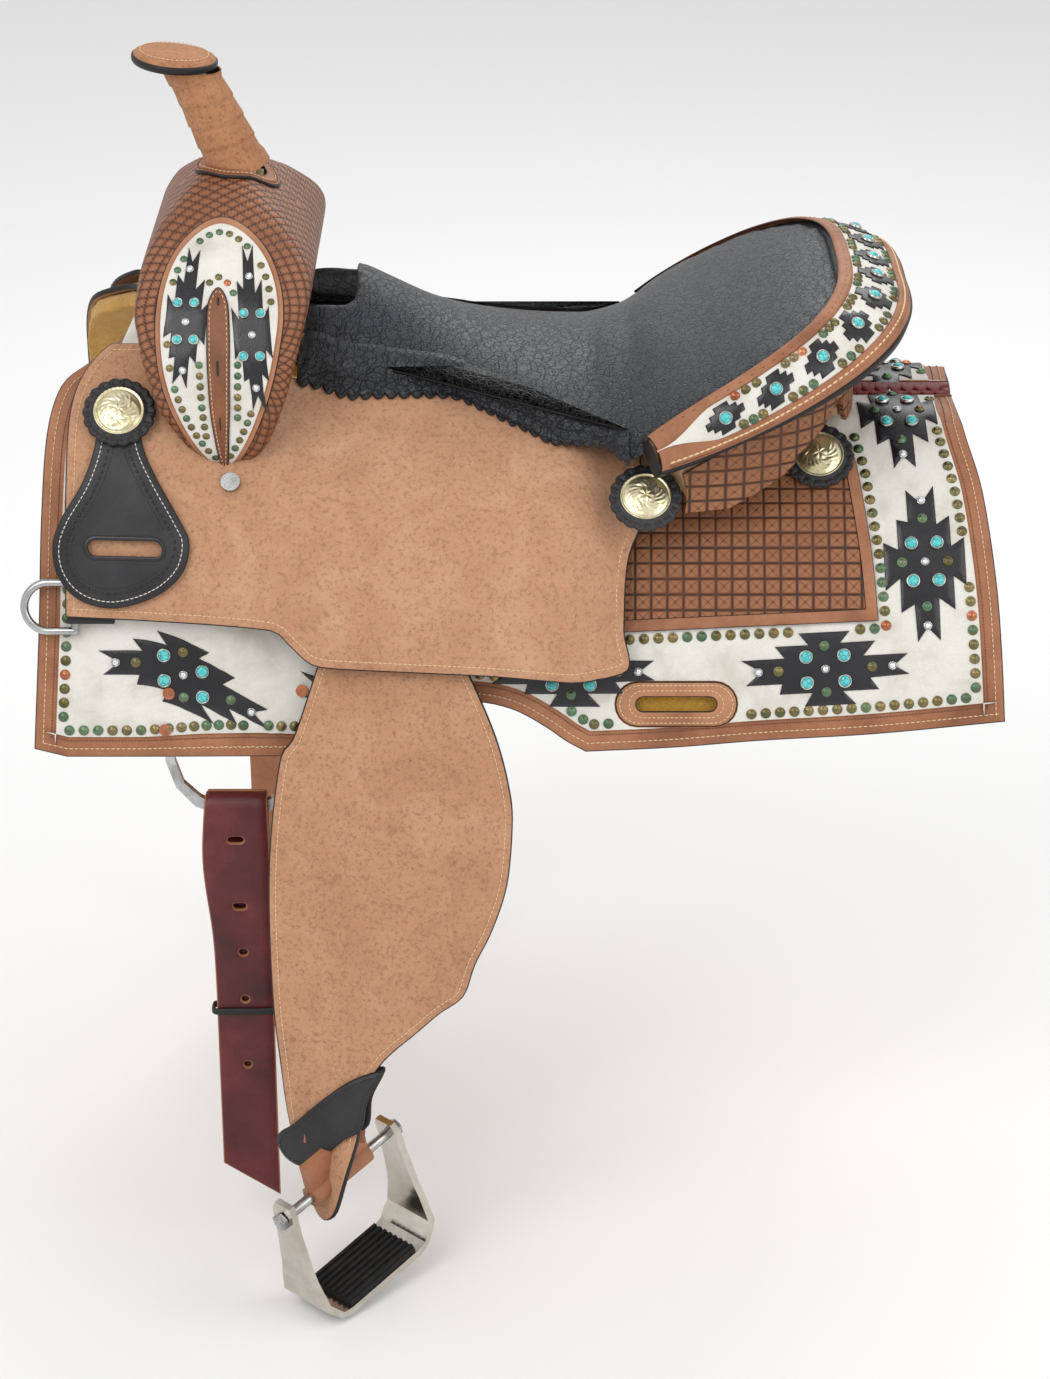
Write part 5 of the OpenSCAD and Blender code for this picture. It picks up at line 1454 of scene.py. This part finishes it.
for nm, sd in SIDES.items():
    body = "fender_%s_body" % nm
    f3 = fender3(sd)
    fo = spline(FENDER_O, 5.0, True, corners=(0, 1))
    fd = plate("t", fo, f3, 4.0, [suede_dark, black_edge, flesh], grid=7.0, h0=3.9, r=1.0)
    fs = stitches("t", inset(fo, 5.5), f3, 8.1, thread, step=3.6, L=3.0, keep=lambda u, v: v > -300)
    fd = join("fender_" + nm, [fd, fs])
    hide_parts("fender_" + nm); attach(fd, body)
    # hobble strap: black leather wound round the neck of the fender
    def h3(u, v, h, f3=f3):
        return f3(u, v, h)
    HS = [(-106, -240), (-116, -262), (-118, -282), (-132, -292), (-158, -316), (-176, -322), (-191, -318), (-196, -306), (-190, -296), (-176, -286), (-150, -262), (-128, -246)]
    hs = plate("t", spline(HS, 4.0), h3, 3.2, [black_leather, black_edge, black_leather], grid=4.0, h0=8.2, r=0.9)
    hb = plate("t", spline(HS, 4.0), h3, 3.0, [black_leather, black_edge, black_leather], grid=4.0, h0=-3.8, r=0.9)
    hst = stitches("t", inset(spline(HS, 4.0), 3.5), h3, 11.5, thread_black, step=3.2, L=2.6, w=0.6)
    hs = join("hobble_strap_" + nm, [hs, hb, hst])
    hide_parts("hobble_strap_" + nm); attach(hs, body)
    give("stirrup_leather_" + nm, tan); give("hobble_buckle_" + nm, steel)

# ------------------------------------------------------------------ latigo and off billet
def strap(name, body, side, zend, slant, holes, tie):
    """a long strap folded over the rigging dee: two layers that come together"""
    x0, x1 = -238.0, -194.0
    def path(layer):
        pts = []
        for i in range(0, 13):
            a = math.pi / 2 - (math.pi / 2) * (i / 12)
            pts.append((184 + 10.8 * math.cos(a) * (1 if layer else -1), -216.5 + 10.8 * math.sin(a)))
        for i in range(1, 15):
            t = i / 14
            off = 10.8 * (1 - t * t * (3 - 2 * t)) + 2.1 * t
            pts.append((184 + off * (1 if layer else -1), -216.5 - t * 124))
        for i in range(1, 14):
            t = i / 13
            pts.append((184 + 2.1 * (1 if layer else -1) + 1.5 * math.sin(t * 3), -340.5 - t * (-zend - 340.5)))
        return pts
    obs = []
    for layer in (1, 0):
        pts = np.array(path(layer)); sl = np.concatenate([[0], np.cumsum(np.hypot(*np.diff(pts, axis=0).T))])
        L = sl[-1] if layer else float(np.interp(470, -pts[:, 1][6:], sl[6:]))
        def f(u, v, h, pts=pts, sl=sl, layer=layer):
            y = float(np.interp(v, sl, pts[:, 0])); z = float(np.interp(v, sl, pts[:, 1]))
            e = 1.0
            ty = float(np.interp(v + e, sl, pts[:, 0]) - np.interp(v - e, sl, pts[:, 0])); tz = float(np.interp(v + e, sl, pts[:, 1]) - np.interp(v - e, sl, pts[:, 1]))
            n = math.hypot(ty, tz) or 1
            ny, nz = (-tz / n, ty / n)
            if not layer: ny, nz = -ny, -nz
            flare = 6.0 * math.exp(-((v - 60) / 55.0) ** 2) * (-1 if u < -216 else 0.2)
            return Vector(((u + flare) / 1000, side * (y + (h) * ny) / 1000, (z + h * nz) / 1000))
        if layer:
            outl = [(x0, 0), (x1, 0), (x1, L - 4), (x0, L - 4 - slant)]
        else:
            outl = [(x0 + 1, 0), (x1 - 1, 0), (x1 - 1, L), (x0 + 1, L - slant)]
        outl = resample(outl, 4.0)
        hs = []
        if layer:
            for z in holes:
                v = float(np.interp(-z, -pts[:, 1][6:], sl[6:]))
                hs.append([(-216 + 3 * math.cos(2 * math.pi * i / 16), v + 3 * math.sin(2 * math.pi * i / 16)) for i in range(16)])
        obs.append(plate("t", outl, f, 3.3, [burgundy if layer else tan, tan, burgundy if not layer else tan], grid=5.0, h0=-1.6, r=0.9, holes=hs))
    s = join(name, obs)
    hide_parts(name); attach(s, body)
    return s
strap("latigo", "latigo_body", -1, -565, 30, (-240, -300, -341, -382, -440), True)
strap("off_billet", "off_billet_body", 1, -505, 12, (-240, -300, -341, -382, -440), False)
# a black tie round the latigo
def tie3(u, v, h):
    a = u / 100.0 * 2 * math.pi
    x = -216 + (24.5 + h) * math.copysign(abs(math.cos(a)) ** 0.35, math.cos(a)); y = 184 + (5.4 + h) * math.copysign(abs(math.sin(a)) ** 0.35, math.sin(a))
    return Vector((x / 1000, -y / 1000, (-392 + v) / 1000))
V = []; F = []; rows = []
for i in range(80):
    a = i / 80 * 100; row = []
    for v, h in ((-2.6, 0), (-2.6, 1.2), (-1.2, 1.9), (1.2, 1.9), (2.6, 1.2), (2.6, 0)):
        row.append(len(V)); V.append(tie3(a, v + 0.5 * math.sin(a / 8), h))
    rows.append(row)
for i in range(80):
    a, b = rows[i], rows[(i + 1) % 80]
    for j in range(6): F.append((a[j], a[(j + 1) % 6], b[(j + 1) % 6], b[j]))
tie = mesh("latigo_tie", V, F, black_leather)
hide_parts("latigo_tie"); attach(tie, "latigo_body")

# ------------------------------------------------------------------ CAD parts that keep their shape
cbk = copy_mesh("cantle_back", "cantle_back_leather")
m = cbk.modifiers.new("sub", "SUBSURF"); m.subdivision_type = "SIMPLE"; m.levels = m.render_levels = 2
bake(cbk); cbk.data.materials.clear(); cbk.data.materials.append(waffle_mat)
lay = cbk.data.uv_layers.new(name="UVMap")
co_ = np.zeros(len(cbk.data.vertices) * 3); cbk.data.vertices.foreach_get("co", co_); co_ = co_.reshape(-1, 3)
ix_ = np.zeros(len(cbk.data.loops), dtype=np.int32); cbk.data.loops.foreach_get("vertex_index", ix_)
ang_ = np.arctan2(co_[:, 1], co_[:, 0] - 0.06)
lay.data.foreach_set("uv", np.stack([ang_ * 0.17, co_[:, 2] * 1.0], axis=1)[ix_].astype(np.float32).ravel())
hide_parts("cantle_back"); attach(cbk, ROOT)

def soft_edges(node, w=0.0008):
    o = frame["nodes"][node]
    m = o.modifiers.new("b", "BEVEL"); m.width = w; m.segments = 2; m.limit_method = "ANGLE"; m.angle_limit = math.radians(38); m.harden_normals = False
for nm in SIDES:
    for node, mat in (("stirrup_", alu), ("tread_", rubber), ("stirrup_bolt_", steel), ("rigging_dee_", steel), ("breast_dee_", steel), ("dee_hanger_", tan), ("bar_", wood)):
        give(node + nm, mat)
    soft_edges("stirrup_" + nm, 0.0012); soft_edges("tread_" + nm, 0.0008); soft_edges("rigging_dee_" + nm, 0.0008)
for node, mat in (("fork", wood), ("cantle_board", wood), ("horn_core", steel), ("ground_seat", wood), ("screws", steel), ("rivets", copper_m), ("breast_tabs", black_leather)):
    give(node, mat)

# ------------------------------------------------------------------ studio
def studio():
    me = bpy.data.meshes.new("floor"); z = CAD_BOX[0][2] - 0.004
    me.from_pydata([(-30, -30, z), (30, -30, z), (30, 30, z), (-30, 30, z)], [], [(0, 1, 2, 3)])
    fl = bpy.data.objects.new("floor", me); bpy.context.scene.collection.objects.link(fl)
    fm = bpy.data.materials.new("floor"); fm.use_nodes = True
    p = fm.node_tree.nodes["Principled BSDF"]; p.inputs["Base Color"].default_value = (0.86, 0.86, 0.86, 1); p.inputs["Roughness"].default_value = 0.9
    p.inputs["Specular IOR Level"].default_value = 0.1
    me.materials.append(fm)
    w = bpy.data.worlds.new("studio"); bpy.context.scene.world = w; w.use_nodes = True
    w.node_tree.nodes["Background"].inputs[0].default_value = (1, 1, 1, 1); w.node_tree.nodes["Background"].inputs[1].default_value = 0.8
    def area_light(name, loc, size, power, at=(0, 0, -0.1)):
        d = bpy.data.lights.new(name, "AREA"); d.shape = "RECTANGLE"; d.size = size; d.size_y = size; d.energy = power
        o = bpy.data.objects.new(name, d); bpy.context.scene.collection.objects.link(o)
        o.location = loc; o.rotation_euler = (Vector(at) - Vector(loc)).to_track_quat("-Z", "Y").to_euler()
    area_light("key", (-1.2, -1.9, 1.9), 1.6, 30)
    area_light("fill", (1.8, -1.4, 1.2), 1.8, 16)
    area_light("back", (0.4, 1.9, 1.8), 1.6, 22)
    c = bpy.data.cameras.new("camera"); c.sensor_fit = "VERTICAL"; c.sensor_height = 36; c.lens = 3500 / 1379 * 36
    c.clip_end = 100
    o = bpy.data.objects.new("camera", c); bpy.context.scene.collection.objects.link(o)
    el = math.radians(25); d = 2.8
    o.location = (0, -d * math.cos(el), -0.206 + d * math.sin(el)); o.rotation_euler = (math.radians(65), 0, 0)
    bpy.context.scene.camera = o
    bpy.context.scene.view_settings.view_transform = "Standard"
studio()

for o in list(bpy.data.objects):
    if o.type == "MESH" and o.name in bpy.context.view_layer.objects:
        pass
